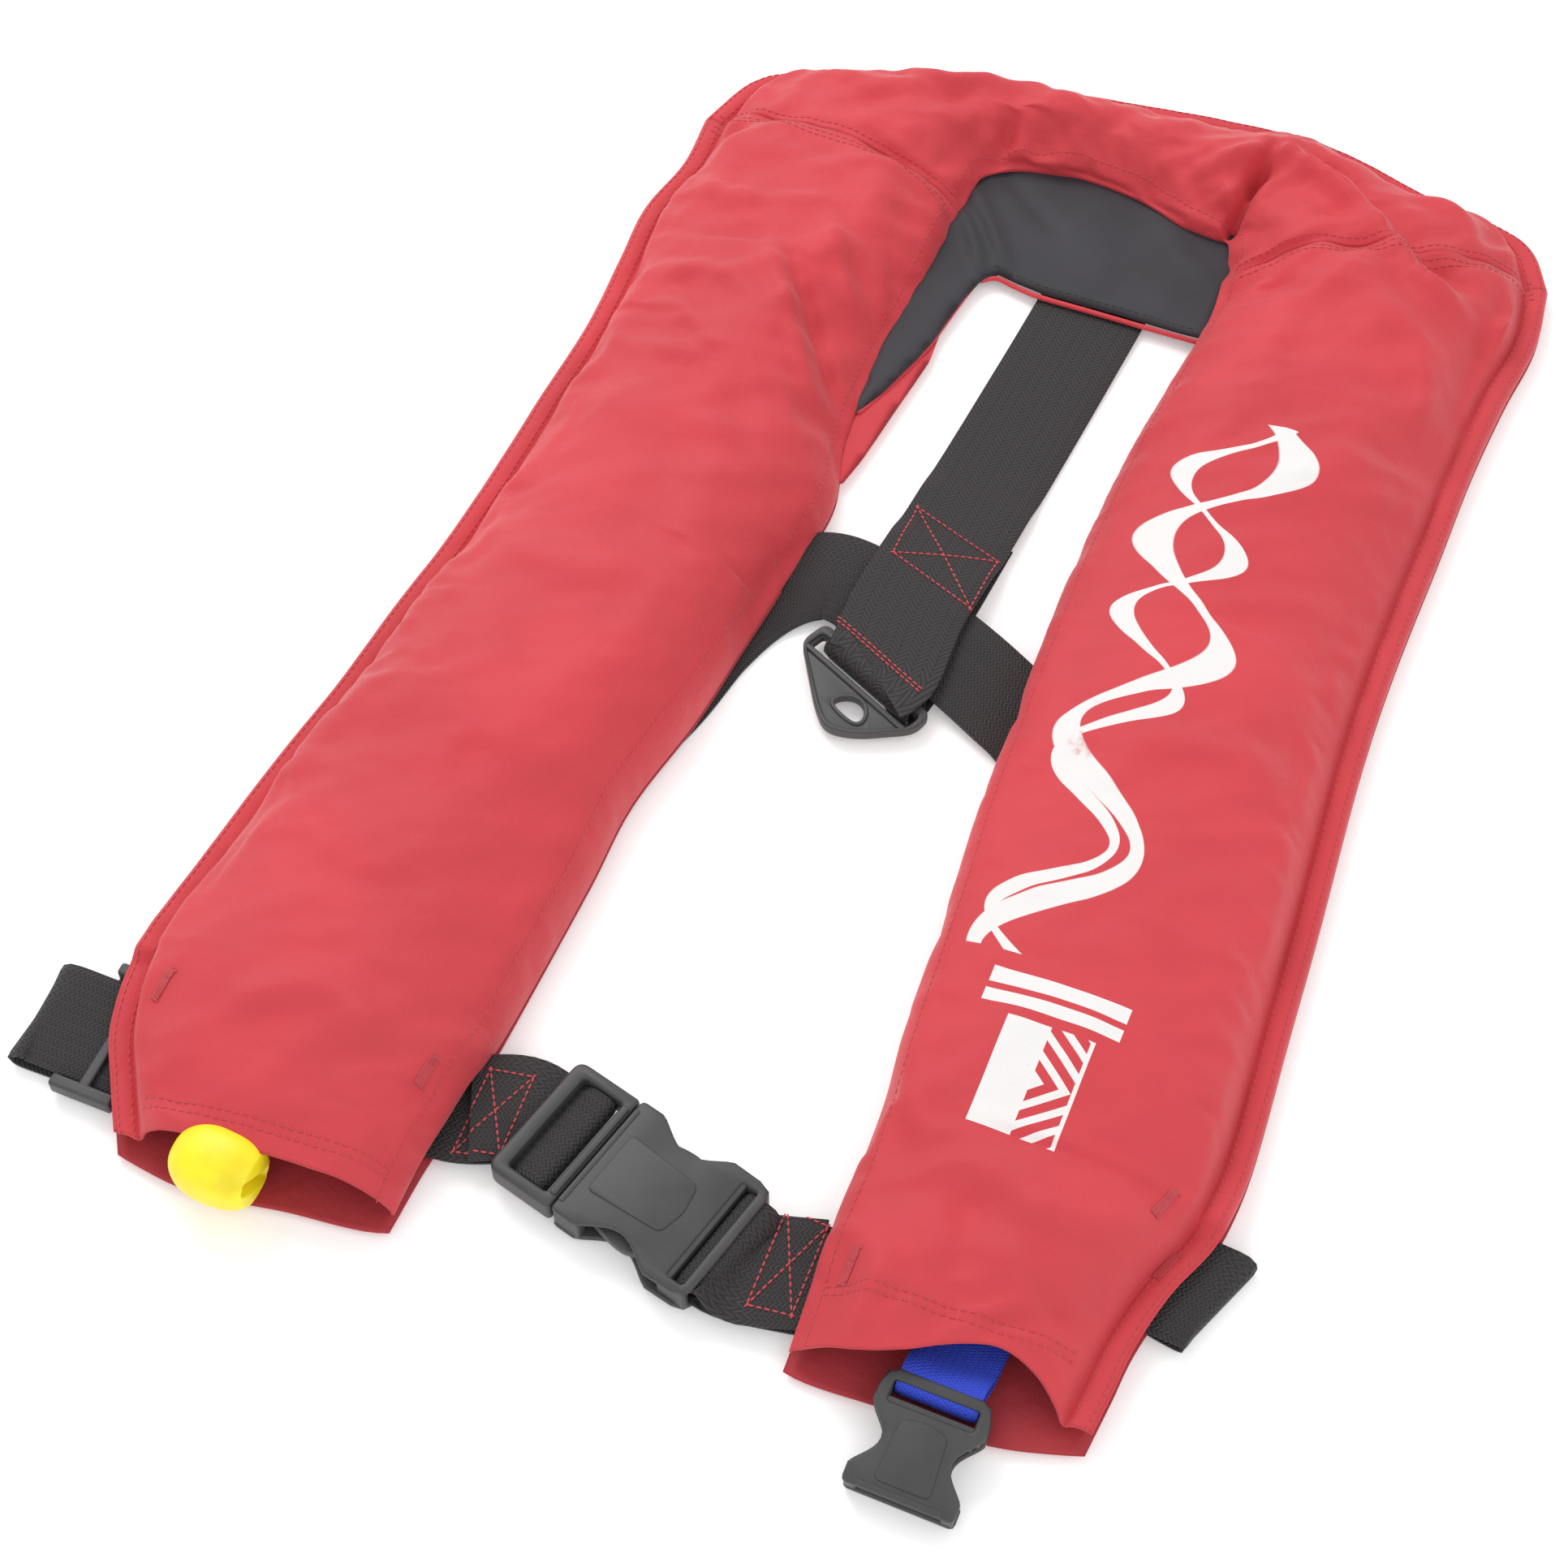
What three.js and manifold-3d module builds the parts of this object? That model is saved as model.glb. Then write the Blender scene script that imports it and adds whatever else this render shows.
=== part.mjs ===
// Inflatable life jacket, laid on its back: a horseshoe cover over a folded bladder,
// a gas inflator with its cylinder and pull handle, waist belt, side-release buckle,
// back strap with its ring, and a crotch-strap buckle. Millimetres, +Z up, +Y towards the neck.
import * as THREE from "three";
import { mergeVertices } from "three/addons/utils/BufferGeometryUtils.js";
import Module from "manifold-3d";

const wasm = await Module();
wasm.setup();

// ---------------------------------------------------------------- driving dimensions
const GAP = 0.4; // clearance between pieces that touch
const CLOTH = 1.6; // cover cloth with its lining
const FLAP_WIDTH = 10; // stitched flap along the outer edges
const TAPE = 2.2; // one half of the hook-and-loop closure
const WEB = 2.0; // webbing thickness
const BELT_WIDTH = 40;
const BACK_STRAP_WIDTH = 45;
const CROTCH_WEB_WIDTH = 28;
const LOBE_HEIGHT = 43; // crown of the left lobe, over the gas cylinder
const RIGHT_HEIGHT = 38;
const YOKE_HEIGHT = 32;
const BLADDER_FOLD = 14; // folded bladder thickness
const CYLINDER_RADIUS = 15.5; // 33 g gas cylinder
const CYLINDER_LENGTH = 126;
const NECK_RADIUS = 6.5;
const STEM_RADIUS = 5;
const KNOB_WIDTH = 34;
const KNOB_RADIUS = 13;
const BUCKLE_WIDTH = 50;
const BUCKLE_LENGTH = 56;
const BUCKLE_THICK = 13;
const BUCKLE_TURN = -14; // degrees, as it lies
const PRONG_THICK = 6;
const CROTCH_BUCKLE_WIDTH = 38;
const CROTCH_BUCKLE_LENGTH = 40;
const CROTCH_BUCKLE_THICK = 11;
const RING_THICK = 4.2;
const RING_TURN = -25; // degrees
const ADJUSTER_LENGTH = 24;
const ORAL_RADIUS = 6.5;
const ORAL_LENGTH = 90;
const COLLAR_THICK = 3;

// levels that follow from them
const PANEL_Z = WEB + GAP;
const TOP_Z = PANEL_Z + CLOTH + GAP; // first level above the back panel
const UPPER_WEB = TOP_Z + WEB / 2; // middle of the belt layer inside the cover
const BLADDER_Z = TOP_Z + WEB + GAP;

// ---------------------------------------------------------------- colours
const paint = (name, color, roughness, metalness = 0) =>
  new THREE.MeshStandardMaterial({ name, color, roughness, metalness });
const RED = paint("red_nylon", 0xd04a52, 0.6);
const RED_INSIDE = paint("red_lining", 0xb8323c, 0.8);
const CHARCOAL = paint("neoprene", 0x3a383b, 0.9);
const BLACK_WEB = paint("black_webbing", 0x2a2627, 0.85);
const BLUE_WEB = paint("blue_webbing", 0x2346b8, 0.8);
const DARK_PLASTIC = paint("dark_plastic", 0x37343a, 0.45);
const YELLOW = paint("yellow_plastic", 0xf2dc1a, 0.45);
const ORANGE = paint("bladder_film", 0xf08a1e, 0.5);
const STEEL = paint("steel", 0xa8aaad, 0.35, 0.9);
const GREEN = paint("green_plastic", 0x2f9e4a, 0.5);
const RUBBER = paint("rubber", 0x1c1c1e, 0.9);
const TAPE_BLACK = paint("tape", 0x222024, 0.95);

// ---------------------------------------------------------------- geometry helpers
const V = (x, y, z) => new THREE.Vector3(x, y, z);
const rad = THREE.MathUtils.degToRad;

// A closed mesh from vertices and faces, turned right side out.
function solid(points, faces) {
  let volume = 0;
  for (const [a, b, c] of faces) {
    volume += points[a].dot(new THREE.Vector3().crossVectors(points[b], points[c]));
  }
  const index = [];
  for (const [a, b, c] of faces) {
    index.push(...(volume > 0 ? [a, b, c] : [a, c, b]));
  }
  const geometry = new THREE.BufferGeometry();
  geometry.setAttribute("position", new THREE.Float32BufferAttribute(points.flatMap((p) => p.toArray()), 3));
  geometry.setIndex(index);
  return geometry;
}

const quad = (faces, a, b, c, d) => faces.push([a, b, c], [a, c, d]);

// Closed loft through rings of equal length, with flat ends made by fans from a corner pair.
function loft(rings) {
  const n = rings[0].length;
  const faces = [];
  for (let i = 0; i + 1 < rings.length; i++) {
    for (let j = 0; j < n; j++) {
      const k = (j + 1) % n;
      quad(faces, i * n + j, i * n + k, (i + 1) * n + k, (i + 1) * n + j);
    }
  }
  for (const [first, flip] of [[0, true], [(rings.length - 1) * n, false]]) {
    // pair the two halves of the ring, so that a hollow section closes too
    for (let j = 0; j < n / 2 - 1; j++) {
      const q = [first + j, first + j + 1, first + n - 2 - j, first + n - 1 - j];
      if (flip) q.reverse();
      quad(faces, ...q);
    }
  }
  return solid(rings.flat(), faces);
}

// Positions only, with shared corners merged and collapsed triangles left out.
function clean(geometry) {
  const g = geometry.clone();
  g.deleteAttribute("normal");
  g.deleteAttribute("uv");
  const m = mergeVertices(g, 1e-4);
  const kept = [];
  for (let i = 0; i < m.index.count; i += 3) {
    const [a, b, c] = [m.index.getX(i), m.index.getX(i + 1), m.index.getX(i + 2)];
    if (a !== b && b !== c && a !== c) kept.push(a, b, c);
  }
  m.setIndex(kept);
  return m;
}

function toManifold(geometry) {
  const m = clean(geometry);
  return new wasm.Manifold(
    new wasm.Mesh({
      numProp: 3,
      vertProperties: new Float32Array(m.attributes.position.array),
      triVerts: new Uint32Array(m.index.array),
    }),
  );
}

function fromManifold(body) {
  const mesh = body.getMesh();
  const geometry = new THREE.BufferGeometry();
  geometry.setAttribute("position", new THREE.BufferAttribute(new Float32Array(mesh.vertProperties), 3));
  geometry.setIndex(new THREE.BufferAttribute(new Uint32Array(mesh.triVerts), 1));
  return geometry;
}

const cut = (geometry, ...tools) =>
  fromManifold(tools.reduce((a, t) => a.subtract(toManifold(t)), toManifold(geometry)));
const join = (geometry, ...more) =>
  fromManifold(more.reduce((a, t) => a.add(toManifold(t)), toManifold(geometry)));

const box = (x0, x1, y0, y1, z0, z1) =>
  new THREE.BoxGeometry(x1 - x0, y1 - y0, z1 - z0).translate((x0 + x1) / 2, (y0 + y1) / 2, (z0 + z1) / 2);

// Cylinder along +Y from y0 to y1, or along +Z with the second form.
const rodY = (r, y0, y1, x = 0, z = 0, sides = 20) =>
  new THREE.CylinderGeometry(r, r, y1 - y0, sides).translate(x, (y0 + y1) / 2, z);
const rodZ = (r, z0, z1, x = 0, y = 0, sides = 20) =>
  new THREE.CylinderGeometry(r, r, z1 - z0, sides).rotateX(Math.PI / 2).translate(x, y, (z0 + z1) / 2);

// Round profile [radius, height] spun about Z; it starts and ends on the axis.
const turned = (profile, sides = 24) =>
  new THREE.LatheGeometry(profile.map(([r, h]) => new THREE.Vector2(r, h)), sides).rotateX(Math.PI / 2);

const plate = (shape, z0, z1, curveSegments = 6) =>
  new THREE.ExtrudeGeometry(shape, { depth: z1 - z0, bevelEnabled: false, curveSegments }).translate(0, 0, z0);

function outline(points) {
  const shape = new THREE.Shape();
  shape.setFromPoints(points.map(([x, y]) => new THREE.Vector2(x, y)));
  return shape;
}

// Flat webbing through stations [centre, width direction], with rectangular section.
function webbing(stations, width, thick = WEB) {
  const rings = stations.map(([centre, across], i) => {
    const c = V(...centre);
    const before = V(...stations[Math.max(i - 1, 0)][0]);
    const after = V(...stations[Math.min(i + 1, stations.length - 1)][0]);
    const along = after.sub(before).normalize();
    const w = V(...across).normalize();
    w.addScaledVector(along, -w.dot(along)).normalize();
    const up = new THREE.Vector3().crossVectors(along, w).normalize();
    const at = (a, b) => {
      const corner = c.clone().addScaledVector(w, (a * width) / 2).addScaledVector(up, (b * thick) / 2);
      corner.z = Math.max(corner.z, 0); // what lies on the table doesn't pass through it
      return corner;
    };
    return [at(-1, -1), at(1, -1), at(1, 1), at(-1, 1)];
  });
  return loft(rings);
}

function place(geometry, at, turn) {
  return geometry.rotateZ(rad(turn)).translate(...at);
}

// ---------------------------------------------------------------- plan of the cover
// Stations up the left lobe, round the yoke and down the right lobe:
// outer edge x, y, inner edge x, y, crown height, and how far the mouth's edge is drawn back.
const LEFT = [
  [-174, -299, -71, -291, LOBE_HEIGHT - 11, 0],
  [-184, -280, -70, -268, LOBE_HEIGHT - 5, 0],
  [-194, -260, -69, -248, LOBE_HEIGHT - 2, 0],
  [-201, -225, -67, -222, LOBE_HEIGHT, 0],
  [-199, -180, -66.5, -180, LOBE_HEIGHT, 0],
  [-191, -110, -66, -112, LOBE_HEIGHT, 0],
  [-187, -60, -60, -62, LOBE_HEIGHT, 0],
  [-182, 10, -55, 5, LOBE_HEIGHT - 3, 0],
  [-181, 60, -51, 52, LOBE_HEIGHT - 5, 0],
  [-181, 110, -60, 98, LOBE_HEIGHT - 6, 0],
  [-185, 165, -62, 160, LOBE_HEIGHT - 7, 0],
  [-182, 205, -62, 205, LOBE_HEIGHT - 8, 0],
  [-183, 228, -61.5, 219, LOBE_HEIGHT - 8, 0],
];
const YOKE = [
  [-182.5, 229, -61.5, 220, LOBE_HEIGHT - 8, 0],
  [-171, 257, -61, 238, YOKE_HEIGHT + 2, 0],
  [-150, 275, -55, 249, YOKE_HEIGHT + 1, 0],
  [-115, 289, -40, 255, YOKE_HEIGHT, 0],
  [-60, 302, -18, 258, YOKE_HEIGHT - 1, 0],
  [0, 311, 6, 255, YOKE_HEIGHT - 1, 0],
  [50, 317, 26, 247, YOKE_HEIGHT - 1, 0],
  [90, 313, 40, 246, YOKE_HEIGHT, 0],
  [128, 301, 49, 243, YOKE_HEIGHT + 2, 0],
  [162, 295, 51, 234, YOKE_HEIGHT + 4, 0],
  [178, 270, 52, 222, RIGHT_HEIGHT, 0],
];
const RIGHT = [
  [179, 269, 52, 221, RIGHT_HEIGHT, 0],
  [181, 235, 54, 206, RIGHT_HEIGHT, 0],
  [177, 195, 52, 187, RIGHT_HEIGHT, 0],
  [175, 140, 46, 133, RIGHT_HEIGHT, 0],
  [174, 60, 46, 60, RIGHT_HEIGHT, 0],
  [176, 0, 50, 5, RIGHT_HEIGHT, 0],
  [181, -60, 53, -65, RIGHT_HEIGHT, 0],
  [184, -105, 57, -105, RIGHT_HEIGHT, 0],
  [187, -160, 61, -160, RIGHT_HEIGHT, 0],
  [186, -193, 65, -198, RIGHT_HEIGHT, 0],
  [176, -216, 67, -222, RIGHT_HEIGHT - 1, 2],
  [171, -242, 66, -248, RIGHT_HEIGHT - 3, 5],
  [167, -274, 68, -285, RIGHT_HEIGHT - 8, 13],
];
const ACROSS = 12; // divisions of a lobe's section
const ROUND = 2.6; // how square its section is

const between = (station, s) => [
  THREE.MathUtils.lerp(station[0], station[2], s),
  THREE.MathUtils.lerp(station[1], station[3], s) + station[5] * Math.sin(Math.PI * s),
];
const spanOf = (station) => Math.hypot(station[0] - station[2], station[1] - station[3]);

// Section of a domed skin between two shares of the station's width.
function skin(station, from, to, base, top) {
  const row = [];
  for (let j = 0; j <= ACROSS; j++) {
    const u = (1 - Math.cos((Math.PI * j) / ACROSS)) / 2;
    const rise = (1 - Math.abs(2 * u - 1) ** ROUND) ** (1 / ROUND);
    const [x, y] = between(station, THREE.MathUtils.lerp(from, to, u));
    row.push(V(x, y, base + (top - base) * rise));
  }
  return row;
}

// Front cover: a domed shell standing on its two long edges, open at both ends.
function frontShell(stations) {
  const rings = stations.map((st) => {
    const width = spanOf(st);
    const from = (FLAP_WIDTH + GAP) / width;
    const outer = skin(st, from, 1, TOP_Z, st[4]);
    const inner = skin(st, from + CLOTH / width, 1 - CLOTH / width, TOP_Z, st[4] - CLOTH);
    return [...outer, ...inner.reverse()];
  });
  return loft(rings);
}

// Flat strip between two shares of the width, from z0 to z1.
function flatStrip(stations, from, to, z0, z1) {
  const rings = stations.map((st) => {
    const width = spanOf(st);
    const [a, b] = [between(st, from(width)), between(st, to(width))];
    return [V(a[0], a[1], z0), V(b[0], b[1], z0), V(b[0], b[1], z1), V(a[0], a[1], z1)];
  });
  return loft(rings);
}

const backPanel = (stations) => flatStrip(stations, () => 0, () => 1, PANEL_Z, PANEL_Z + CLOTH);

// ---------------------------------------------------------------- where the belts cross the cover
const TAB_SLOT = box(-100, -55, -275, -208, TOP_Z - GAP, TOP_Z + 9);
const RIGHT_TAB_SLOT = box(50, 102, -281.5, -226, TOP_Z - GAP, TOP_Z + 10.4);
const ADJUSTER_AT = [-191, -262];
const ADJUSTER_WINDOW = box(-230, -175, -290, -236, -1, TOP_Z + 5);
const RIGHT_LOOP_WINDOW = box(150, 215, -247, -180, -1, TOP_Z + 3.5);
const KNOB_AT = [-129, -297, 19];

const meshes = [];
function add(name, geometry, material) {
  const mesh = new THREE.Mesh(geometry, material);
  mesh.name = name;
  meshes.push(mesh);
  return mesh;
}

// ---------------------------------------------------------------- cover
const BELT_NOTCH = (belt) => webbing(belt, BELT_WIDTH + 2 * GAP, WEB + 2 * GAP);

// Back waist belt: under the left lobe, up through the back strap's loop, under the right lobe.
const LOW = WEB / 2;
const BACK_BELT = [
  [[-158, -236, LOW], [0.75, -0.66, 0]],
  [[-132, -190, LOW], [0.86, -0.5, 0]],
  [[-98, -115, LOW], [0.92, -0.4, 0]],
  [[-80, -60, LOW], [0.96, -0.25, 0]],
  [[-73, -24, LOW], [0.95, -0.3, 0]],
  [[-63, 2, LOW + 0.2], [0.72, -0.69, 0]],
  [[-47, 18, 4.6], [0.2, -0.97, -0.1]],
  [[-30, 21, 5.6], [-0.2, -0.97, -0.04]],
  [[0, 10.5, 5.4], [-0.36, -0.93, 0]],
  [[22, 1, 5.4], [-0.36, -0.93, 0]],
  [[44, -9, 3.4], [-0.3, -0.95, 0]],
  [[62, -18, LOW], [-0.3, -0.95, 0]],
  [[92, -42, LOW], [-0.62, -0.78, 0]],
  [[122, -90, LOW], [-0.8, -0.6, 0]],
  [[140, -140, LOW], [-0.86, -0.5, 0]],
  [[151, -180, LOW], [-0.75, -0.66, 0]],
];

function makeCover() {
  const leftFront = cut(frontShell(LEFT), TAB_SLOT, ADJUSTER_WINDOW, knobRoom(), BELT_NOTCH(BACK_BELT));
  add("cover_front_left", leftFront, RED);
  add("cover_front_yoke", frontShell(YOKE), RED);
  add("cover_front_right", cut(frontShell(RIGHT), RIGHT_TAB_SLOT, RIGHT_LOOP_WINDOW), RED);
  add("cover_back_left", cut(backPanel(LEFT), ADJUSTER_WINDOW, BELT_NOTCH(BACK_BELT)), RED_INSIDE);
  add("cover_back_right", cut(backPanel(RIGHT), RIGHT_LOOP_WINDOW, BELT_NOTCH(BACK_BELT)), RED_INSIDE);
  const yokeBack = outline([...YOKE.map((st) => [st[0], st[1]]), [52, 222], [50, COLLAR_EDGE_Y], [-38, COLLAR_EDGE_Y], [-61.5, 220]]);
  add("cover_back_yoke", plate(yokeBack, PANEL_Z, PANEL_Z + CLOTH), RED_INSIDE);
  const hookZ = TOP_Z + TAPE + GAP;
  const flapZ = hookZ + TAPE + GAP;
  // the closure tapes stop where the belt passes out; the flap runs on over it
  const sides = [["left", LEFT, LEFT.slice(3)], ["right", RIGHT, RIGHT.slice(0, 9)]];
  for (const [side, whole, taped] of sides) {
    const strip = (stations, a, b, z, thick) => flatStrip(stations, (w) => a / w, (w) => b / w, z, z + thick);
    add(`closure_loop_tape_${side}`, strip(taped, 1, FLAP_WIDTH - 1, TOP_Z, TAPE), TAPE_BLACK);
    add(`closure_hook_tape_${side}`, strip(taped, 1, FLAP_WIDTH - 1, hookZ, TAPE), TAPE_BLACK);
    add(`edge_flap_${side}`, strip(whole, 0, FLAP_WIDTH, flapZ, CLOTH), RED);
  }
}

// ---------------------------------------------------------------- neck lining
const COLLAR_EDGE_Y = 193;
function makeCollar() {
  const shape = outline([
    [-57.5, 244], [-40, 250], [-15, 252.5], [5, 249], [26, 241], [40, 240], [49, 232], [49, 210], [47, 194],
    [-32, 194], [-38, 188], [-43, 148], [-52, 112], [-58, 104], [-59.5, 150],
  ]);
  add("collar_lining", plate(shape, TOP_Z, TOP_Z + COLLAR_THICK), CHARCOAL);
}

// ---------------------------------------------------------------- bladder
function foldedBladder(station, from, to, thick, y = null) {
  const st = station.slice();
  st[5] = 0;
  if (y !== null) {
    st[3] += y - st[1];
    st[1] = y;
  }
  const top = skin(st, from, to, BLADDER_Z + 2.5, BLADDER_Z + thick);
  const bottom = top.map((p) => V(p.x, p.y, BLADDER_Z)).reverse();
  return [...top, ...bottom];
}

function makeBladder() {
  const cylinderSide = 0.61; // the cylinder lies beside the fold here
  const rings = [
    foldedBladder(LEFT[2], 0.2, 0.58, 3.6, -262),
    foldedBladder(LEFT[3], 0.2, 0.58, 3.6, -216),
    foldedBladder(LEFT[3], cylinderSide, 0.92, BLADDER_FOLD, -205),
    foldedBladder(LEFT[4], cylinderSide, 0.92, BLADDER_FOLD),
    foldedBladder(LEFT[5], cylinderSide, 0.92, BLADDER_FOLD),
    foldedBladder(LEFT[6], 0.56, 0.92, BLADDER_FOLD),
    foldedBladder(LEFT[7], 0.2, 0.9, BLADDER_FOLD),
    ...LEFT.slice(8, 12).map((st) => foldedBladder(st, 0.18, 0.9, BLADDER_FOLD)),
    ...YOKE.slice(1, 10).map((st) => foldedBladder(st, 0.3, 0.84, BLADDER_FOLD - 3)),
    ...RIGHT.slice(1, 9).map((st) => foldedBladder(st, 0.18, 0.9, BLADDER_FOLD)),
    foldedBladder(RIGHT[10], 0.3, 0.85, 8, -222),
  ];
  add("bladder", loft(rings), ORANGE);
}

// ---------------------------------------------------------------- inflator
const INFLATOR = { x: -143, y0: -243, y1: -217, width: 34, z0: BLADDER_Z + 6.4, z1: BLADDER_Z + 27 };
const GAS_Z = BLADDER_Z + 15.5;
const GAS_Y = INFLATOR.y1 + 12; // shoulder of the cylinder
const LEVER_PIVOT = [INFLATOR.x, INFLATOR.y0 + 5];
const LEVER_REACH = 20;

function makeInflator() {
  const { x, y0, y1, width, z0, z1 } = INFLATOR;
  const half = width / 2;
  const stemY = y1 - 9;
  const stemX = x + 9;
  const flangeZ = BLADDER_Z + 3.6 + GAP;
  const boreY = rodY(NECK_RADIUS + 0.5, y1 - 9.5, y1 + 1, x - 4, GAS_Z);
  const stemHole = rodZ(STEM_RADIUS + 0.4, z0 - 1, z1 + 1, stemX, stemY);
  const leverSlot = box(x - half - 1, x + half + 1, y0 - 1, y0 + 9, GAS_Z - 3.4, GAS_Z + 3.4);
  const pinBore = rodY(2.2, y0 + 8.5, y1 - 9, x - 4, GAS_Z, 12);
  const body = cut(box(x - half, x + half, y0, y1, z0, z1), boreY, stemHole, leverSlot, pinBore);
  add("inflator_body", body, YELLOW);
  const flange = join(rodZ(10, flangeZ, flangeZ + 2, stemX, stemY, 24), rodZ(STEM_RADIUS, flangeZ + 1, z1 + 3, stemX, stemY));
  add("bladder_valve_stem", flange, RUBBER);
  add("inflator_cap_nut", cut(rodZ(8, z1 + GAP, z1 + 5, stemX, stemY, 6), rodZ(STEM_RADIUS + 0.3, z1 - 1, z1 + 4, stemX, stemY)), RUBBER);
  const pin = rodY(1.8, y0 + 9.6, y1 - 10.6, x - 4, GAS_Z, 12);
  add("piercing_pin", pin, STEEL);
  const pivotX = LEVER_PIVOT[0] + 6;
  const lever = join(
    box(pivotX, pivotX + LEVER_REACH, LEVER_PIVOT[1] - 3, LEVER_PIVOT[1] + 3, GAS_Z - 3, GAS_Z + 3),
    rodZ(3.5, GAS_Z - 3, GAS_Z + 3, pivotX, LEVER_PIVOT[1], 16),
  );
  add("inflator_lever", cut(lever, rodZ(1.9, GAS_Z - 4, GAS_Z + 4, pivotX, LEVER_PIVOT[1], 12)), YELLOW);
  const pivotPin = rodZ(1.5, GAS_Z - 3.3, GAS_Z + 3.3, pivotX, LEVER_PIVOT[1], 12);
  add("lever_pivot_pin", pivotPin, STEEL);
  add("status_clip", box(x - half - 3, x - half - GAP, y0 + 10, y0 + 17, GAS_Z - 3, GAS_Z + 3), GREEN);
}

function makeCylinder() {
  const r = CYLINDER_RADIUS;
  const length = CYLINDER_LENGTH;
  const profile = [[0, 0], [NECK_RADIUS, 0], [NECK_RADIUS, 14], [r * 0.75, 21], [r, 30]];
  for (let i = 0; i <= 4; i++) {
    const a = (Math.PI / 2) * (i / 4);
    profile.push([i === 4 ? 0 : r * Math.cos(a), 8 + length - r * 0.6 + r * 0.6 * Math.sin(a)]);
  }
  const body = turned(profile, 24).rotateX(-Math.PI / 2).scale(1, 1, -1);
  const upright = solid(
    Array.from({ length: body.attributes.position.count }, (_, i) => V().fromBufferAttribute(body.attributes.position, i)),
    Array.from({ length: body.index.count / 3 }, (_, i) => [0, 1, 2].map((k) => body.index.getX(3 * i + k))),
  );
  const merged = clean(upright);
  merged.translate(INFLATOR.x - 4, INFLATOR.y1 - 7, GAS_Z);
  add("gas_cylinder", merged, STEEL);
  add("cylinder_gasket", cut(rodY(NECK_RADIUS, INFLATOR.y1 - 9.2, INFLATOR.y1 - 7.4, INFLATOR.x - 4, GAS_Z), rodY(2.8, INFLATOR.y1 - 12, INFLATOR.y1, INFLATOR.x - 4, GAS_Z, 12)), RUBBER);
}

const PULL_X = LEVER_PIVOT[0] + 6 + LEVER_REACH - 2;
function knobRoom() {
  const [x, y, z] = KNOB_AT;
  return box(x - KNOB_WIDTH / 2 - 1, x + KNOB_WIDTH / 2 + 1, y - 30, y + KNOB_RADIUS + 1.5, z - 4, z + 40);
}

function makePull() {
  const [x, y, z] = KNOB_AT;
  const half = KNOB_WIDTH / 2;
  const profile = [[0, -half]];
  for (let i = 1; i < 10; i++) {
    const a = -Math.PI / 2 + (Math.PI * i) / 10;
    profile.push([KNOB_RADIUS * Math.cos(a) ** 0.75, half * Math.sin(a)]);
  }
  profile.push([0, half]);
  const knob = clean(turned(profile, 18).rotateY(Math.PI / 2).translate(x, y, z));
  add("pull_handle", knob, YELLOW);
  const top = LEVER_PIVOT[1] - 4;
  const route = new THREE.CatmullRomCurve3([
    V(PULL_X, top, GAS_Z), V(PULL_X, top - 16, GAS_Z), V((PULL_X + x) / 2, -268, 21), V(x, y + KNOB_RADIUS + 0.4, z),
  ]);
  const section = new THREE.Shape().absarc(0, 0, 1.25, 0, Math.PI * 2);
  add("pull_lanyard", clean(new THREE.ExtrudeGeometry(section, { steps: 12, extrudePath: route, curveSegments: 4 })), YELLOW);
}

// ---------------------------------------------------------------- oral inflation tube and whistle
function makeOralTube() {
  const x = 118;
  const z = BLADDER_Z + BLADDER_FOLD + GAP + ORAL_RADIUS + 1;
  const y0 = -150;
  const y1 = y0 + ORAL_LENGTH;
  const foot = BLADDER_Z + BLADDER_FOLD + GAP;
  add("oral_flange", cut(join(box(x - 12, x + 12, y0 - 16, y0 + 8, foot, foot + 3.4), rodY(ORAL_RADIUS - 1.8, y0 - 12, y0 + 6, x, z)), box(x - 20, x + 20, y0 - 20, y0 + 20, foot - 5, foot)), RUBBER);
  add("oral_tube", cut(rodY(ORAL_RADIUS, y0 + 8.4, y1, x, z), rodY(ORAL_RADIUS - 1.6, y0, y1 + 1, x, z)), RUBBER);
  add("oral_valve", rodY(ORAL_RADIUS - 2.2, y1 - 12, y1 + 6, x, z, 16), RED_INSIDE);
  add("oral_cap", cut(rodY(ORAL_RADIUS + 0.6, y1 + GAP, y1 + 10, x, z), rodY(ORAL_RADIUS - 1.7, y1 - 1, y1 + 7, x, z)), YELLOW);
  const wx = x - 32;
  const whistle = cut(join(box(wx - 7, wx + 7, y1 - 2, y1 + 40, z - 6, z + 4), rodZ(9, z - 6, z + 4, wx, y1 + 40)), box(wx - 5, wx + 5, y1 - 3, y1 + 30, z - 3, z + 1), box(wx - 4, wx + 4, y1 + 18, y1 + 24, z, z + 6));
  add("whistle", whistle, YELLOW);
  const tie = new THREE.CatmullRomCurve3([V(wx + 10, y1 + 36, z), V(wx + 18, y1 + 34, z), V(x - 10, y1 - 6, z), V(x - ORAL_RADIUS - 1.6, y1 - 18, z)]);
  const section = new THREE.Shape().absarc(0, 0, 0.9, 0, Math.PI * 2);
  add("whistle_cord", clean(new THREE.ExtrudeGeometry(section, { steps: 10, extrudePath: tie, curveSegments: 4 })), RUBBER);
}

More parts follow.
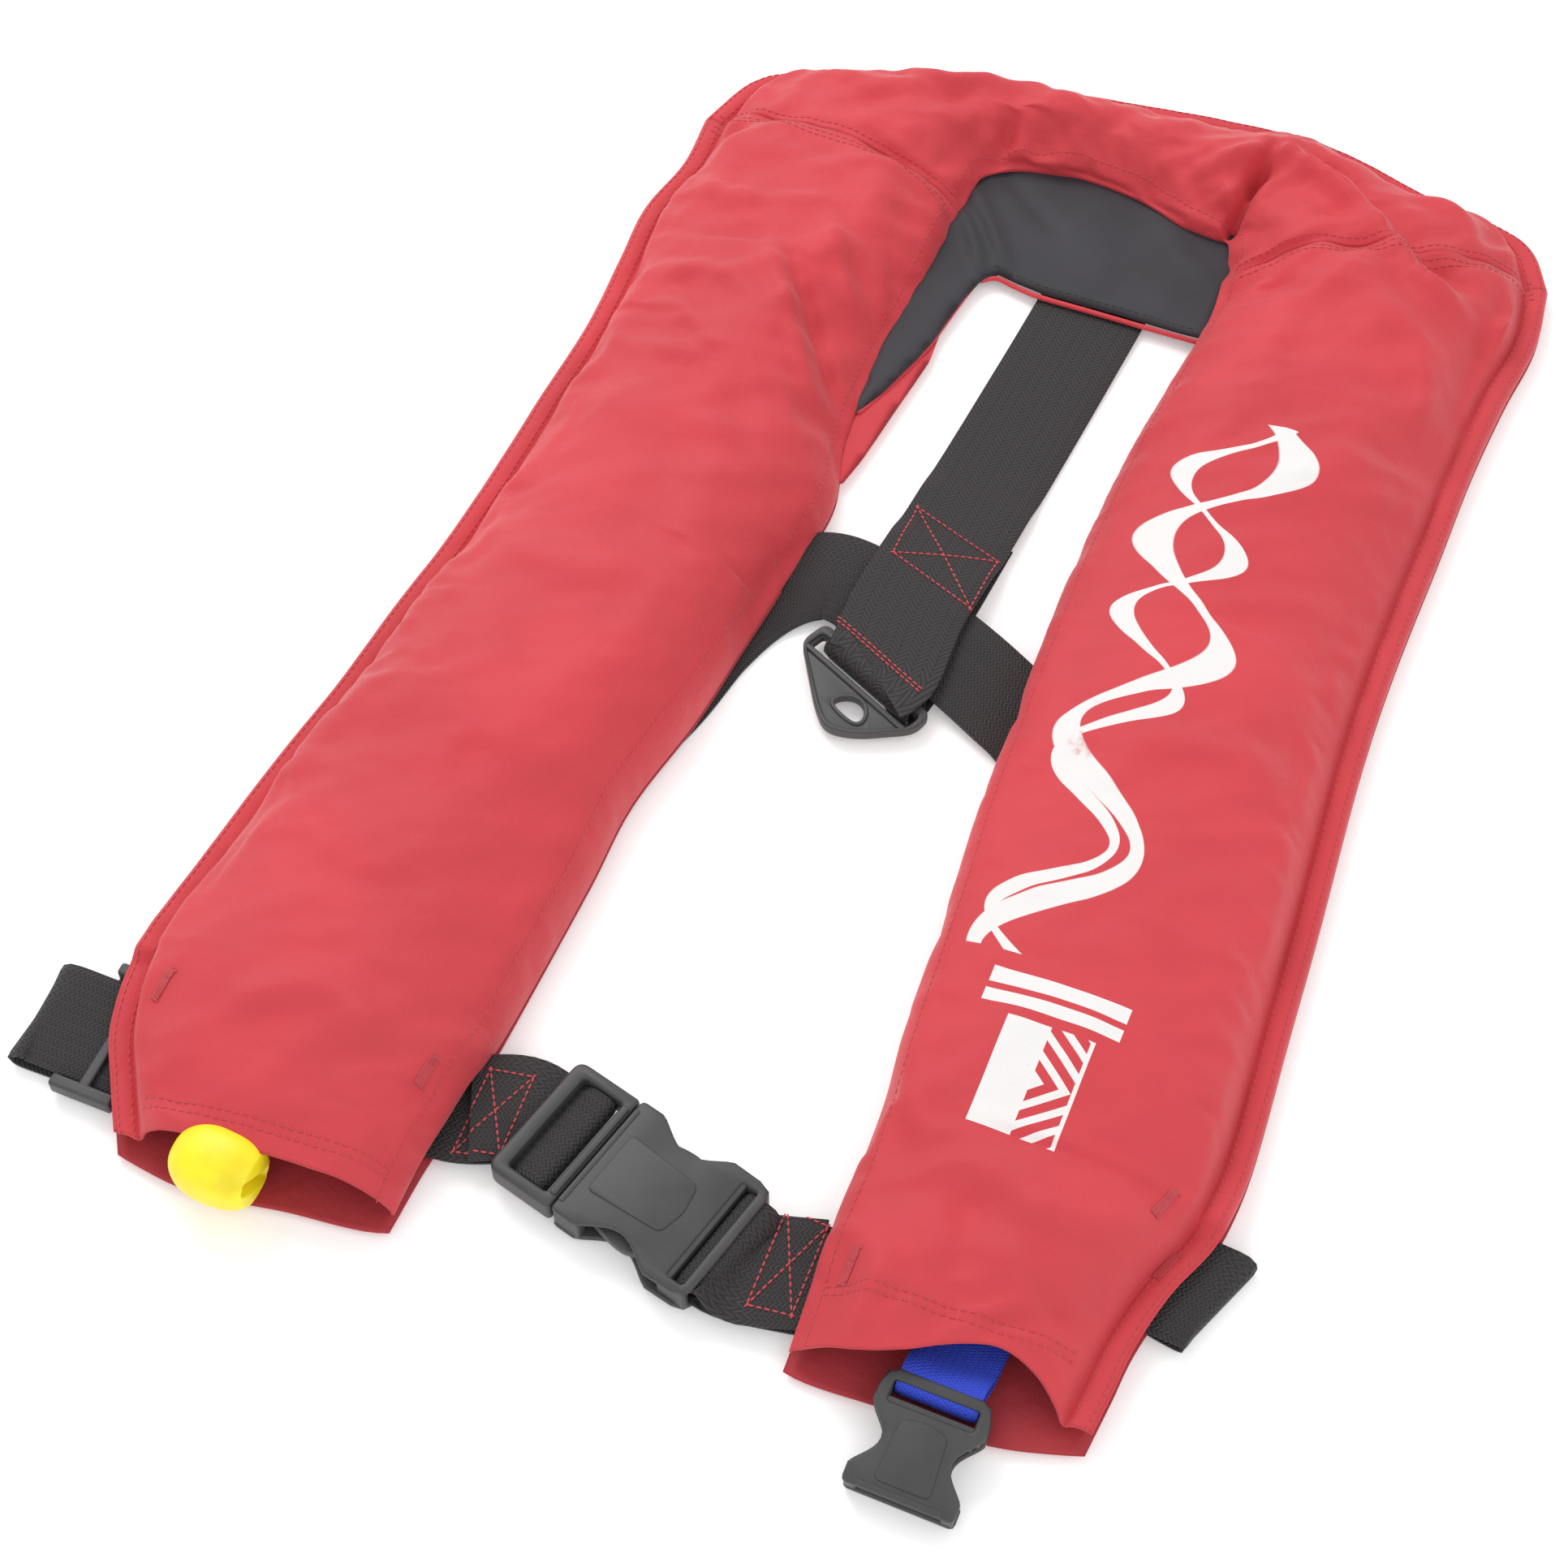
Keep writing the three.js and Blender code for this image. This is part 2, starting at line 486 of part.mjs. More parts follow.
// ---------------------------------------------------------------- back strap and its ring
const RING_PIVOT = [-7, -17];
const leanX = (y) => 6 - (183 - y) * 0.069;
function makeBackStrap() {
  const slant = Math.tan(rad(RING_TURN));
  const row = (y, z, s) => [[leanX(y), y, z], [1, slant * s, 0]];
  // near the ring the webbing runs square to the ring's bar
  const atBar = (d, z) => [[leanX(bend) - d * Math.sin(rad(RING_TURN)), bend + d * Math.cos(rad(RING_TURN)), z], [1, slant, 0]];
  const ringMid = 5;
  const high = 9.4;
  const bend = -21.6;
  const path = [
    row(232, LOW, 0), row(150, LOW, 0), row(90, LOW, 0), row(78, LOW + WEB + GAP, 0), row(58, LOW + WEB + GAP, 0.3),
    row(44, high - 1, 0.5), row(16, high, 0.8), atBar(9, high), atBar(2, high), atBar(0.5, high - 1.2),
    atBar(0, ringMid), atBar(0.5, LOW + 1.2), atBar(2, LOW), atBar(9, LOW), row(16, LOW, 0.8), row(36, LOW, 0.5),
    row(66, LOW, 0),
  ];
  add("back_strap", webbing(path, BACK_STRAP_WIDTH), BLACK_WEB);
}

function makeRing() {
  const shape = new THREE.Shape();
  shape.moveTo(-27, 3);
  shape.lineTo(26, 3);
  shape.quadraticCurveTo(30, 3, 29, -4);
  shape.lineTo(27, -12);
  shape.lineTo(14, -25);
  shape.quadraticCurveTo(8, -31, 1, -26);
  shape.lineTo(-28, -9.5);
  shape.quadraticCurveTo(-32, 2, -27, 3);
  const eye = new THREE.Shape();
  eye.moveTo(-1, -16);
  eye.quadraticCurveTo(6, -9, 12.5, -17);
  eye.quadraticCurveTo(6, -25, -1, -16);
  const level = 5;
  const body = cut(
    plate(shape, level - RING_THICK / 2, level + RING_THICK / 2),
    plate(eye, 0, 2 * level),
    box(-26, 26, -9.6, -0.8, 0, 2 * level),
  );
  const ring = place(body, [...RING_PIVOT, 0], RING_TURN);
  add("back_ring", ring, DARK_PLASTIC);
}

// ---------------------------------------------------------------- waist belt
function makeBelts() {
  add("waist_belt_back", webbing(BACK_BELT, BELT_WIDTH), BLACK_WEB);
  const y = ADJUSTER_AT[1];
  const leftLoop = [
    [[-176, y + 4, LOW], [0, 1, 0]],
    [[-196, y, LOW], [0, 1, 0]],
    [[-218, y - 1, LOW + 0.2], [0, 1, 0]],
    [[-222, y - 1, (LOW + UPPER_WEB) / 2], [0, 1, 0]],
    [[-218, y, UPPER_WEB], [0, 1, 0]],
    [[-200, y, UPPER_WEB], [0, 1, 0]],
    [[-176.5, y, UPPER_WEB], [0, 1, 0]],
  ];
  add("belt_loop_left", webbing(leftLoop, BELT_WIDTH), BLACK_WEB);
  const fold = [0.37, 0.93, 0];
  const rightLoop = [
    [[153, -206, LOW], fold],
    [[176, -213, LOW], fold],
    [[187, -217, LOW + 0.2], fold],
    [[190, -218, (LOW + UPPER_WEB) / 2], fold],
    [[186, -216, UPPER_WEB + 0.2], fold],
    [[172, -213, UPPER_WEB], fold],
    [[154, -208, UPPER_WEB], fold],
  ];
  add("belt_loop_right", webbing(rightLoop, BELT_WIDTH), BLACK_WEB);
  const [ax, ay] = ADJUSTER_AT;
  const half = ADJUSTER_LENGTH / 2;
  const low = WEB + GAP;
  const frame = cut(
    box(ax - half, ax + half, ay - 26, ay + 26, low, UPPER_WEB + 3.6),
    box(ax - half + 4, ax - 2, ay - 21, ay + 21, -1, 30),
    box(ax + 2, ax + half - 4, ay - 21, ay + 21, -1, 30),
    box(ax - half - 1, ax + half + 1, ay - 21, ay + 21, UPPER_WEB - WEB / 2 - GAP, UPPER_WEB + WEB / 2 + GAP),
    box(ax - half - 1, ax - 2, ay - 21, ay + 21, UPPER_WEB, 30),
    box(ax + 2, ax + half + 1, ay - 21, ay + 21, UPPER_WEB, 30),
    box(ax - 2, ax + 2, ay - 21, ay + 21, low - 1, UPPER_WEB),
  );
  add("belt_adjuster", frame, DARK_PLASTIC);
}

// ---------------------------------------------------------------- front buckle
const BUCKLE_AT = [-17, -242.5, TOP_Z + 4.6];
const BUCKLE_AXIS = [Math.cos(rad(BUCKLE_TURN)), Math.sin(rad(BUCKLE_TURN)), 0];
const WALL = 2.2;
const BAR_TOP = 1.9; // half the height of the bars that webbing folds round
const PRONG_ROOT = 5;
const SOCKET_HALF = BUCKLE_WIDTH / 2 - 5.4;

// Female half along +X from its mouth: open socket, side windows, webbing bar in the tail.
function femaleShell(length, width, thick, neck, tail) {
  const half = width / 2;
  const shape = new THREE.Shape();
  shape.moveTo(0, -half + 2);
  shape.quadraticCurveTo(0.5, -half, 4, -half);
  shape.lineTo(length * 0.2, -half);
  shape.quadraticCurveTo(length * 0.42, -half + neck * 2, length * 0.66, -half);
  shape.lineTo(length - 4, -half + 0.5);
  shape.quadraticCurveTo(length, -half + 1, length, -half + 5);
  shape.lineTo(length, half - 5);
  shape.quadraticCurveTo(length, half - 1, length - 4, half - 0.5);
  shape.lineTo(length * 0.66, half);
  shape.quadraticCurveTo(length * 0.42, half - neck * 2, length * 0.2, half);
  shape.lineTo(4, half);
  shape.quadraticCurveTo(0.5, half, 0, half - 2);
  const shell = plate(shape, -thick / 2, thick / 2);
  const socket = box(-1, length - tail - 2, -half + 5, half - 5, -thick / 2 + WALL, thick / 2 - WALL);
  const window = box(length * 0.22, length * 0.64, -half - 1, half + 1, -thick / 2 + WALL, thick / 2 - WALL);
  const slot = box(length - tail + 2, length - 4.5, -half + 4.2, half - 4.2, -thick, thick);
  const above = box(length - tail, length + 1, -half + 4.2, half - 4.2, BAR_TOP, thick);
  const below = box(length - tail, length + 1, -half + 4.2, half - 4.2, -thick, -BAR_TOP);
  return cut(shell, socket, window, slot, above, below);
}

function prong(side) {
  const y = (v) => v * side;
  const shape = outline([
    [PRONG_ROOT + 0.4, y(12.5)], [PRONG_ROOT + 0.4, y(17.4)], [12, y(18.7)], [22, y(20.6)], [29, y(20.9)],
    [33, y(19)], [35, y(16)], [33, y(14.4)], [24, y(14.8)], [12, y(13.6)],
  ]);
  return clean(plate(shape, -PRONG_THICK / 2, PRONG_THICK / 2));
}

function makeBuckle() {
  const half = BUCKLE_WIDTH / 2;
  const female = femaleShell(BUCKLE_LENGTH, BUCKLE_WIDTH, BUCKLE_THICK, 3.6, 12).translate(0.5, 0, 0);
  add("buckle_female", place(female, BUCKLE_AT, BUCKLE_TURN), DARK_PLASTIC);
  const frameThick = BUCKLE_THICK - 3;
  const rail = half - 4.4;
  const solidFrame = join(
    box(-27, -0.2, -half, half, -frameThick / 2, frameThick / 2),
    box(-1, PRONG_ROOT, -SOCKET_HALF + 0.4, SOCKET_HALF - 0.4, -PRONG_THICK / 2, PRONG_THICK / 2),
    box(0, 32, -2, 2, -PRONG_THICK / 2, PRONG_THICK / 2),
  );
  const frame = join(
    cut(solidFrame, box(-28, -4.5, -rail, rail, -frameThick, frameThick)),
    box(-14.5, -10, -rail - 0.5, rail + 0.5, -BAR_TOP, 1.4),
    box(-27, -21.5, -rail - 0.5, rail + 0.5, 0.9, frameThick / 2),
  );
  add("buckle_male", place(frame, BUCKLE_AT, BUCKLE_TURN), DARK_PLASTIC);
  add("buckle_prong_upper", place(prong(1), BUCKLE_AT, BUCKLE_TURN), DARK_PLASTIC);
  add("buckle_prong_lower", place(prong(-1), BUCKLE_AT, BUCKLE_TURN), DARK_PLASTIC);
}

// Tabs that hold the two halves: sewn in the cover's inner edges, folded round the buckle's bars.
function makeTabs() {
  const [bx, by, bz] = BUCKLE_AT;
  const [ux, uy] = BUCKLE_AXIS;
  const at = (d, z) => [bx + ux * d, by + uy * d, z];
  const across = [-uy, ux, 0];
  const wide = BELT_WIDTH;
  const left = [
    [[-86, -242, UPPER_WEB], [0, 1, 0]], [[-68, -241, UPPER_WEB], [0.05, 1, 0]],
    [at(-34, UPPER_WEB), across], [at(-24, UPPER_WEB), across], [at(-12, UPPER_WEB + 0.2), across],
    [at(-9.2, UPPER_WEB + 0.3), across], [at(-7.6, UPPER_WEB + 2), across], [at(-7.6, UPPER_WEB + 5), across],
    [at(-9.2, UPPER_WEB + 6.4), across], [at(-15.8, UPPER_WEB + 6.4), across], [at(-19.4, UPPER_WEB + 4), across],
    [at(-23, UPPER_WEB + 2.8), across], [at(-34, UPPER_WEB + 2.8), across], [[-65, -240.5, UPPER_WEB + 3], [0.05, 1, 0]],
  ];
  add("front_tab_left", webbing(left, wide), BLACK_WEB);
  const tail = BUCKLE_LENGTH;
  const under = bz - BAR_TOP - WEB;
  const over = bz + BAR_TOP + WEB;
  const right = [
    [[84, -250.5, UPPER_WEB], [0, 1, 0]], [[72, -252, UPPER_WEB], [-0.05, 1, 0]],
    [at(tail + 5, under), across], [at(tail - 5, under), across], [at(tail - 6.4, under + 0.8), across],
    [at(tail - 6.9, bz), across], [at(tail - 6.4, over - 0.8), across], [at(tail - 5, over), across],
    [at(tail + 3, over), across], [at(tail + 9, UPPER_WEB + 3.6), across], [[69, -251.5, UPPER_WEB + 3], [-0.05, 1, 0]],
  ];
  add("front_tab_right", webbing(right, wide), BLACK_WEB);
}

// ---------------------------------------------------------------- crotch strap buckle
const CROTCH_AT = [119.5, -314, 6];
const CROTCH_TILT = 9; // degrees: its bar stands on the cover, its mouth on the table
function makeCrotchBuckle() {
  const [cx, cy, cz] = CROTCH_AT;
  const length = CROTCH_BUCKLE_LENGTH;
  const shell = femaleShell(length, CROTCH_BUCKLE_WIDTH, CROTCH_BUCKLE_THICK, 3, 12.6).rotateY(-rad(CROTCH_TILT));
  add("crotch_buckle", place(shell, CROTCH_AT, 90), DARK_PLASTIC);
  const [c, s] = [Math.cos(rad(CROTCH_TILT)), Math.sin(rad(CROTCH_TILT))];
  const at = (x, z) => [[cx, cy + x * c - z * s, cz + x * s + z * c], [1, 0, 0]];
  const web = 1.6;
  const clear = BAR_TOP + 3 * GAP + web / 2;
  const loop = length - 6.2; // the web turns here, in the slot
  const path = [
    [[cx + 2, -232, 6.4], [1, 0, 0]], [[cx + 1, -262, 7.2], [1, 0, 0]], at(length + 3, -clear), at(loop + 1.8, -clear),
    at(loop + 0.3, 0.8 - clear), at(loop, 0), at(loop + 0.3, clear - 0.8), at(loop + 1.8, clear),
    at(length + 3, clear), [[cx + 1, -262, 12.6], [1, 0, 0]], [[cx + 2, -246, 11.5], [1, 0, 0]],
  ];
  add("crotch_strap_loop", webbing(path, CROTCH_WEB_WIDTH, web), BLUE_WEB);
}

// ---------------------------------------------------------------- assembly
makeCover();
makeCollar();
makeBladder();
makeInflator();
makeCylinder();
makePull();
makeOralTube();
makeBackStrap();
makeRing();
makeBelts();
makeBuckle();
makeTabs();
makeCrotchBuckle();

const lifeJacket = new THREE.Group();
lifeJacket.add(...meshes);
const extent = new THREE.Box3().setFromObject(lifeJacket, true);
const centre = extent.getCenter(new THREE.Vector3());
lifeJacket.position.set(-centre.x, -centre.y, -extent.min.z);
export default lifeJacket;
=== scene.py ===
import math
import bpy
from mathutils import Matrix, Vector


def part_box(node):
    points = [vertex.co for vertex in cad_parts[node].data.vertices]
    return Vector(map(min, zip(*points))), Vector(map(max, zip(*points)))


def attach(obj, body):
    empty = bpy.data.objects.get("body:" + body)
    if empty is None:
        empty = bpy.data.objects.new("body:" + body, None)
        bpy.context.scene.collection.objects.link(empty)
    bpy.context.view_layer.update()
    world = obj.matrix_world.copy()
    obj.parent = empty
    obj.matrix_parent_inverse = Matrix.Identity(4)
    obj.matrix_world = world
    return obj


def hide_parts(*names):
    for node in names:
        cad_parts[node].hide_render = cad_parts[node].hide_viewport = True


bl_info = {
    "name": "Inflatable Life Jacket",
    "version": (1, 0, 0),
    "blender": (4, 5, 0),
    "location": "3D Viewport > Sidebar > Life Jacket",
    "description": "Builds the cover, lining, webbing and fittings of a horse-collar inflatable life jacket "
    "round its packed frame",
    "category": "Add Mesh",
}

import bmesh
import bpy
import numpy as np
from bpy.props import FloatProperty, FloatVectorProperty, IntProperty, PointerProperty
from mathutils import Matrix, Vector, noise
from mathutils.bvhtree import BVHTree
from mathutils.geometry import delaunay_2d_cdt

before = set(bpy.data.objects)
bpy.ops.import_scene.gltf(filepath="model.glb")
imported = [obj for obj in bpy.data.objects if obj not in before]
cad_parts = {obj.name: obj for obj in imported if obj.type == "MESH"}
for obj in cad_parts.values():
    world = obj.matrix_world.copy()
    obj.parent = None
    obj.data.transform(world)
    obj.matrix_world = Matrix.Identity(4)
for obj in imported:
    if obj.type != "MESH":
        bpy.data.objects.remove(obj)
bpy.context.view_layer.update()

# The plan numbers below are millimetres in the jacket's own layout: x across it from the middle,
# y up towards the neck, z up from the table. ORIGIN is where that layout's zero lies in the frame.
RING_MIDDLE = (-8.37, -24.58)  # the back ring's middle in the layout
_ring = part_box("back_ring")
ORIGIN = Vector(
    (
        (_ring[0].x + _ring[1].x) / 2 - RING_MIDDLE[0] / 1000,
        (_ring[0].y + _ring[1].y) / 2 - RING_MIDDLE[1] / 1000, 0.0
    )
)
MM = 0.001
WELD = 0.00002  # points nearer than this are one point, m
FILM_CELL = 0.003  # size of the folded film's cells, m

BAND = 10.0  # width of the closure flap down the outer edges
SKIN = 1.1  # thickness the cover cloth is drawn with
WEB = 2.0
BELT_WIDTH = 40.0
BACK_STRAP_WIDTH = 45.0
CROTCH_WEB_WIDTH = 28.0
UPPER_WEB = 5.4
LOW = 1.0


# ---------------------------------------------------------------- colours and sizes a user would change
def colour_property(name, description, default):
    return FloatVectorProperty(
        name=name, description=description, subtype="COLOR", size=3, min=0, max=1, default=default
    )


class JacketColours(bpy.types.PropertyGroup):
    cover: colour_property("Cover", "Satin nylon of the outer cover", (0.62, 0.052, 0.066))
    lining: colour_property("Collar", "Neoprene of the collar lining", (0.024, 0.025, 0.032))
    webbing: colour_property("Webbing", "Belts and straps", (0.019, 0.017, 0.018))
    plastic: colour_property("Buckles", "Moulded buckles, ring and adjuster", (0.05, 0.049, 0.05))
    thread: colour_property("Box stitching", "Thread of the sewn boxes on the webbing", (0.6, 0.05, 0.06))
    handle: colour_property("Pull handle", "Firing handle, cap and whistle", (0.93, 0.76, 0.012))
    bladder: colour_property("Bladder", "Coated film inside the cover", (0.86, 0.25, 0.02))


class JacketSizes(bpy.types.PropertyGroup):
    stitch_pitch: FloatProperty(
        name="Stitch pitch", description="Distance from stitch to stitch on the cover", unit="LENGTH",
        default=0.0032, min=0.001
    )
    stitch_length: FloatProperty(
        name="Stitch length", description="Length of one stitch on the cover", unit="LENGTH", default=0.0024,
        min=0.0005
    )
    thread_width: FloatProperty(
        name="Thread width", description="Thickness of the sewing thread", unit="LENGTH", default=0.00055,
        min=0.0001
    )
    skin_step: FloatProperty(
        name="Cloth step", description="Spacing of the cover cloth's points", unit="LENGTH", default=0.0042,
        min=0.002
    )
    settle_frames: IntProperty(
        name="Settling steps", description="Steps for which the cover cloth settles", default=14, min=2
    )


# ---------------------------------------------------------------- shader maths as expressions
class Value:
    """A shader socket that can be added, multiplied and compared in an expression."""

    def __init__(self, finish, socket):
        self.finish, self.socket = finish, socket

    def _math(self, operation, *others):
        return self.finish.node("ShaderNodeMath", {"operation": operation}, self, *others)

    def __add__(self, other):
        return self._math("ADD", other)

    __radd__ = __add__

    def __mul__(self, other):
        return self._math("MULTIPLY", other)

    __rmul__ = __mul__

    def __sub__(self, other):
        return self._math("SUBTRACT", other)

    def __rsub__(self, other):
        return self.finish.node("ShaderNodeMath", {"operation": "SUBTRACT"}, other, self)

    def __truediv__(self, other):
        return self._math("DIVIDE", other)

    def __lt__(self, other):
        return self._math("LESS_THAN", other)

    def __gt__(self, other):
        return self._math("GREATER_THAN", other)

    def __pow__(self, other):
        return self._math("POWER", other)

    def __abs__(self):
        return self._math("ABSOLUTE")

    def sin(self):
        return self._math("SINE")

    def fract(self):
        return self._math("FRACT")

    def least(self, other):
        return self._math("MINIMUM", other)

    def most(self, other):
        return self._math("MAXIMUM", other)

    def soft(self, low, high):
        """0 below low, 1 above high and a smooth step between them."""
        return self.finish.node(
            "ShaderNodeMapRange", {"interpolation_type": "SMOOTHSTEP", "clamp": True}, self, low, high, 0.0,
            1.0
        )


class Finish:
    """A material being built: one call adds a node, and sockets come back as Values."""

    def __init__(self, name):
        self.material = bpy.data.materials.get(name) or bpy.data.materials.new(name)
        self.material.use_nodes = True
        self.tree = self.material.node_tree
        self.tree.nodes.clear()
        self.shader = self.tree.nodes.new("ShaderNodeBsdfPrincipled")
        self.result = self.tree.nodes.new("ShaderNodeOutputMaterial")
        self.tree.links.new(self.shader.outputs[0], self.result.inputs[0])

    def put(self, socket, value):
        if isinstance(value, Value):
            self.tree.links.new(value.socket, socket)
        elif value is not None:
            if hasattr(socket.default_value, "__len__") and not hasattr(value, "__len__"):
                value = [value] * len(socket.default_value)
            elif hasattr(value, "__len__") and len(socket.default_value) == 4 and len(value) == 3:
                value = (*value, 1.0)
            socket.default_value = value

    def node(self, kind, settings=None, *values, output=0, **named):
        made = self.tree.nodes.new(kind)
        for key, value in (settings or {}).items():
            if key == "stops":
                ramp = made.color_ramp
                while len(ramp.elements) < len(value):
                    ramp.elements.new(0.5)
                for element, (place, colour) in zip(ramp.elements, value):
                    element.position, element.color = place, (*colour, 1.0)
            else:
                setattr(made, key, value)
        for index, value in enumerate(values):
            self.put(made.inputs[index], value)
        for key, value in named.items():
            self.put(made.inputs[key.replace("_", " ")], value)
        return Value(self, made.outputs[output])

    def place(self):
        return self.node("ShaderNodeTexCoord", output="Object")

    def strip(self):
        return self.node("ShaderNodeUVMap")

    def axes(self, vector):
        made = self.node("ShaderNodeSeparateXYZ", None, vector).socket.node
        return [Value(self, made.outputs[i]) for i in range(3)]

    def grain(self, scale, detail=3.0, roughness=0.5, at=None):
        return self.node(
            "ShaderNodeTexNoise", {"noise_dimensions": "3D"}, Vector=at or self.place(), Scale=scale,
            Detail=detail, Roughness=roughness
        )

    def mix(self, factor, a, b):
        made = self.tree.nodes.new("ShaderNodeMix")
        made.data_type = "RGBA"
        self.put(made.inputs[0], factor)
        self.put(made.inputs[6], a)
        self.put(made.inputs[7], b)
        return Value(self, made.outputs[2])

    def bump(self, height, strength, distance, under=None):
        made = self.tree.nodes.new("ShaderNodeBump")
        self.put(made.inputs["Strength"], strength)
        self.put(made.inputs["Distance"], distance)
        self.put(made.inputs["Height"], height)
        if under is not None:
            self.put(made.inputs["Normal"], under)
        return Value(self, made.outputs[0])

    def surface(self, **sockets):
        for key, value in sockets.items():
            self.put(self.shader.inputs[key.replace("_", " ")], value)
        return self.material


def shade(colour, by):
    return tuple(min(1.0, max(0.0, c * by)) for c in colour)


def twill(finish, pitch, skew=1.0):
    """Fine diagonal ribs, 0 to 1, in the plane of the table."""
    x, y, z = finish.axes(finish.place())
    along = (x * skew + y + z * 0.6) * (2 * math.pi / pitch)
    return along.sin() * 0.5 + 0.5


def cover_cloth(name, colour, print_mask=None):
    f = Finish(name)
    fine = twill(f, 0.0011)
    cross = twill(f, 0.0009, -0.45)
    broad = f.grain(16.0, 3.0)
    fleck = f.grain(900.0, 2.0)
    base = f.mix(broad.soft(0.3, 0.75), shade(colour, 0.93), shade(colour, 1.05))
    base = f.mix(fine * 0.10 + fleck * 0.06, base, shade(colour, 0.8))
    rough = 0.6 + broad * 0.08 - fine * 0.05
    if print_mask:
        mask = print_mask(f)
        base = f.mix(mask, base, (0.82, 0.8, 0.79))
        rough = rough + mask * 0.1
    weave = f.bump(fine * 0.7 + cross * 0.3, 0.3, 0.0002)
    crumple = f.grain(34.0, 4.0, 0.55)
    soft = f.bump(crumple, 0.28, 0.006, f.bump(f.grain(120.0, 3.0), 0.14, 0.0015, weave))
    return f.surface(
        Base_Color=base, Roughness=rough, Normal=soft, Sheen_Weight=0.12, Sheen_Roughness=0.5,
        Specular_IOR_Level=0.28
    )


def neoprene(name, colour):
    f = Finish(name)
    fine = f.grain(1500.0, 2.0)
    broad = f.grain(22.0, 3.0)
    base = f.mix(broad.soft(0.3, 0.7), shade(colour, 0.85), shade(colour, 1.25))
    base = f.mix(fine.soft(0.45, 0.8) * 0.35, base, shade(colour, 2.0))
    return f.surface(
        Base_Color=base, Roughness=0.62 + fine * 0.14, Normal=f.bump(fine, 0.25, 0.0003), Sheen_Weight=0.1,
        Sheen_Roughness=0.5
    )


def webbing_weave(name, colour, rib, rows, depth, relief_shade_contrast):
    """Chevron weave on the strip's own map: u along it and v across it, both in metres. Its grooves are
    painted darker and its ribs lighter, as painted shade and highlight.
    """
    f = Finish(name)
    u, v, _ = f.axes(f.strip())
    lane = (v / rows).fract()
    slope = abs(lane - 0.5) * 2.0
    ribs = ((u / rib) + slope * (rows / rib) * 0.5) * (2 * math.pi)
    wave = ribs.sin() * 0.5 + 0.5
    groove = (slope.soft(0.0, 0.14)).least((1.0 - slope).soft(0.0, 0.14))
    threads = ((v / 0.0006) * (2 * math.pi)).sin() * 0.5 + 0.5
    height = wave * 0.62 + groove * 0.25 + threads * 0.13
    fuzz = f.grain(700.0, 3.0)
    # painted shade and highlight: colour follows the weave's height, darker in the grooves and lighter on the
    # raised ribs
    base = f.mix(height.soft(0.15, 0.85), shade(colour, 1.0 - relief_shade_contrast), shade(colour, 1.0 + relief_shade_contrast * 1.6))
    base = f.mix(fuzz.soft(0.5, 0.85) * 0.3, base, shade(colour, 2.4))
    return f.surface(
        Base_Color=base, Roughness=0.66 + fuzz * 0.12 - wave * 0.08, Normal=f.bump(height, 0.75, depth),
        Sheen_Weight=0.08, Sheen_Roughness=0.4
    )


def moulded(name, colour, rough=0.42, grain=0.16, worn=0.5):
    f = Finish(name)
    fine = f.grain(1100.0, 2.0)
    broad = f.grain(60.0, 4.0)
    scuff = f.node("ShaderNodeTexNoise", None, Vector=f.place(), Scale=220.0, Detail=6.0, Roughness=0.7)
    base = f.mix(broad.soft(0.3, 0.7), shade(colour, 0.9), shade(colour, 1.12))
    base = f.mix(scuff.soft(0.62, 0.78) * worn * 0.4, base, shade(colour, 2.2))
    return f.surface(
        Base_Color=base, Roughness=rough + broad * 0.1 + scuff.soft(0.6, 0.8) * 0.12,
        Normal=f.bump(fine, grain, 0.00025), Specular_IOR_Level=0.5
    )


def thread_finish(name, colour):
    f = Finish(name)
    x, y, z = f.axes(f.place())
    twist = ((x + y * 1.7 + z) * (2 * math.pi / 0.0006)).sin() * 0.5 + 0.5
    base = f.mix(twist, shade(colour, 0.75), shade(colour, 1.2))
    return f.surface(
        Base_Color=base, Roughness=0.5 + twist * 0.15, Normal=f.bump(twist, 0.3, 0.0001), Sheen_Weight=0.3
    )


def metal(name, colour):
    f = Finish(name)
    streak = f.node(
        "ShaderNodeTexNoise", None,
        Vector=f.node("ShaderNodeMapping", None, f.place(), Scale=(1.0, 0.02, 1.0)), Scale=900.0, Detail=4.0
    )
    base = f.mix(streak, shade(colour, 0.85), shade(colour, 1.15))
    return f.surface(
        Base_Color=base, Metallic=1.0, Roughness=0.26 + streak * 0.16, Normal=f.bump(streak, 0.06, 0.0002)
    )


def film(name, colour):
    f = Finish(name)
    crinkle = f.grain(90.0, 4.0, 0.6)
    base = f.mix(crinkle.soft(0.3, 0.7), shade(colour, 0.86), shade(colour, 1.1))
    return f.surface(
        Base_Color=base, Roughness=0.34 + crinkle * 0.14, Normal=f.bump(crinkle, 0.4, 0.0016),
        Specular_IOR_Level=0.5
    )


# ---------------------------------------------------------------- points, lines and meshes
def at(x, y, z=0.0):
    """A point of the layout, in the frame's metres."""
    return Vector((x * MM + ORIGIN.x, y * MM + ORIGIN.y, z * MM))


def smooth_line(points, step, closed=False):
    """Points about step apart on the smooth curve through the given ones."""
    pts = [np.array(p, float) for p in points]
    count = len(pts)
    out = []
    for i in range(count if closed else count - 1):
        a = pts[(i - 1) % count] if closed or i else 2 * pts[0] - pts[1]
        b, c = pts[i], pts[(i + 1) % count]
        d = pts[(i + 2) % count] if closed or i + 2 < count else 2 * pts[-1] - pts[-2]
        parts = max(1, round(float(np.linalg.norm(c - b)) / step))
        for k in range(parts):
            t = k / parts
            out.append(
                0.5 * (
                    2 * b + (c - a) * t + (2 * a - 5 * b + 4 * c - d) * t * t + (3 * b - a - 3 * c + d) * t**3
                )
            )
    if not closed:
        out.append(pts[-1])
    return out


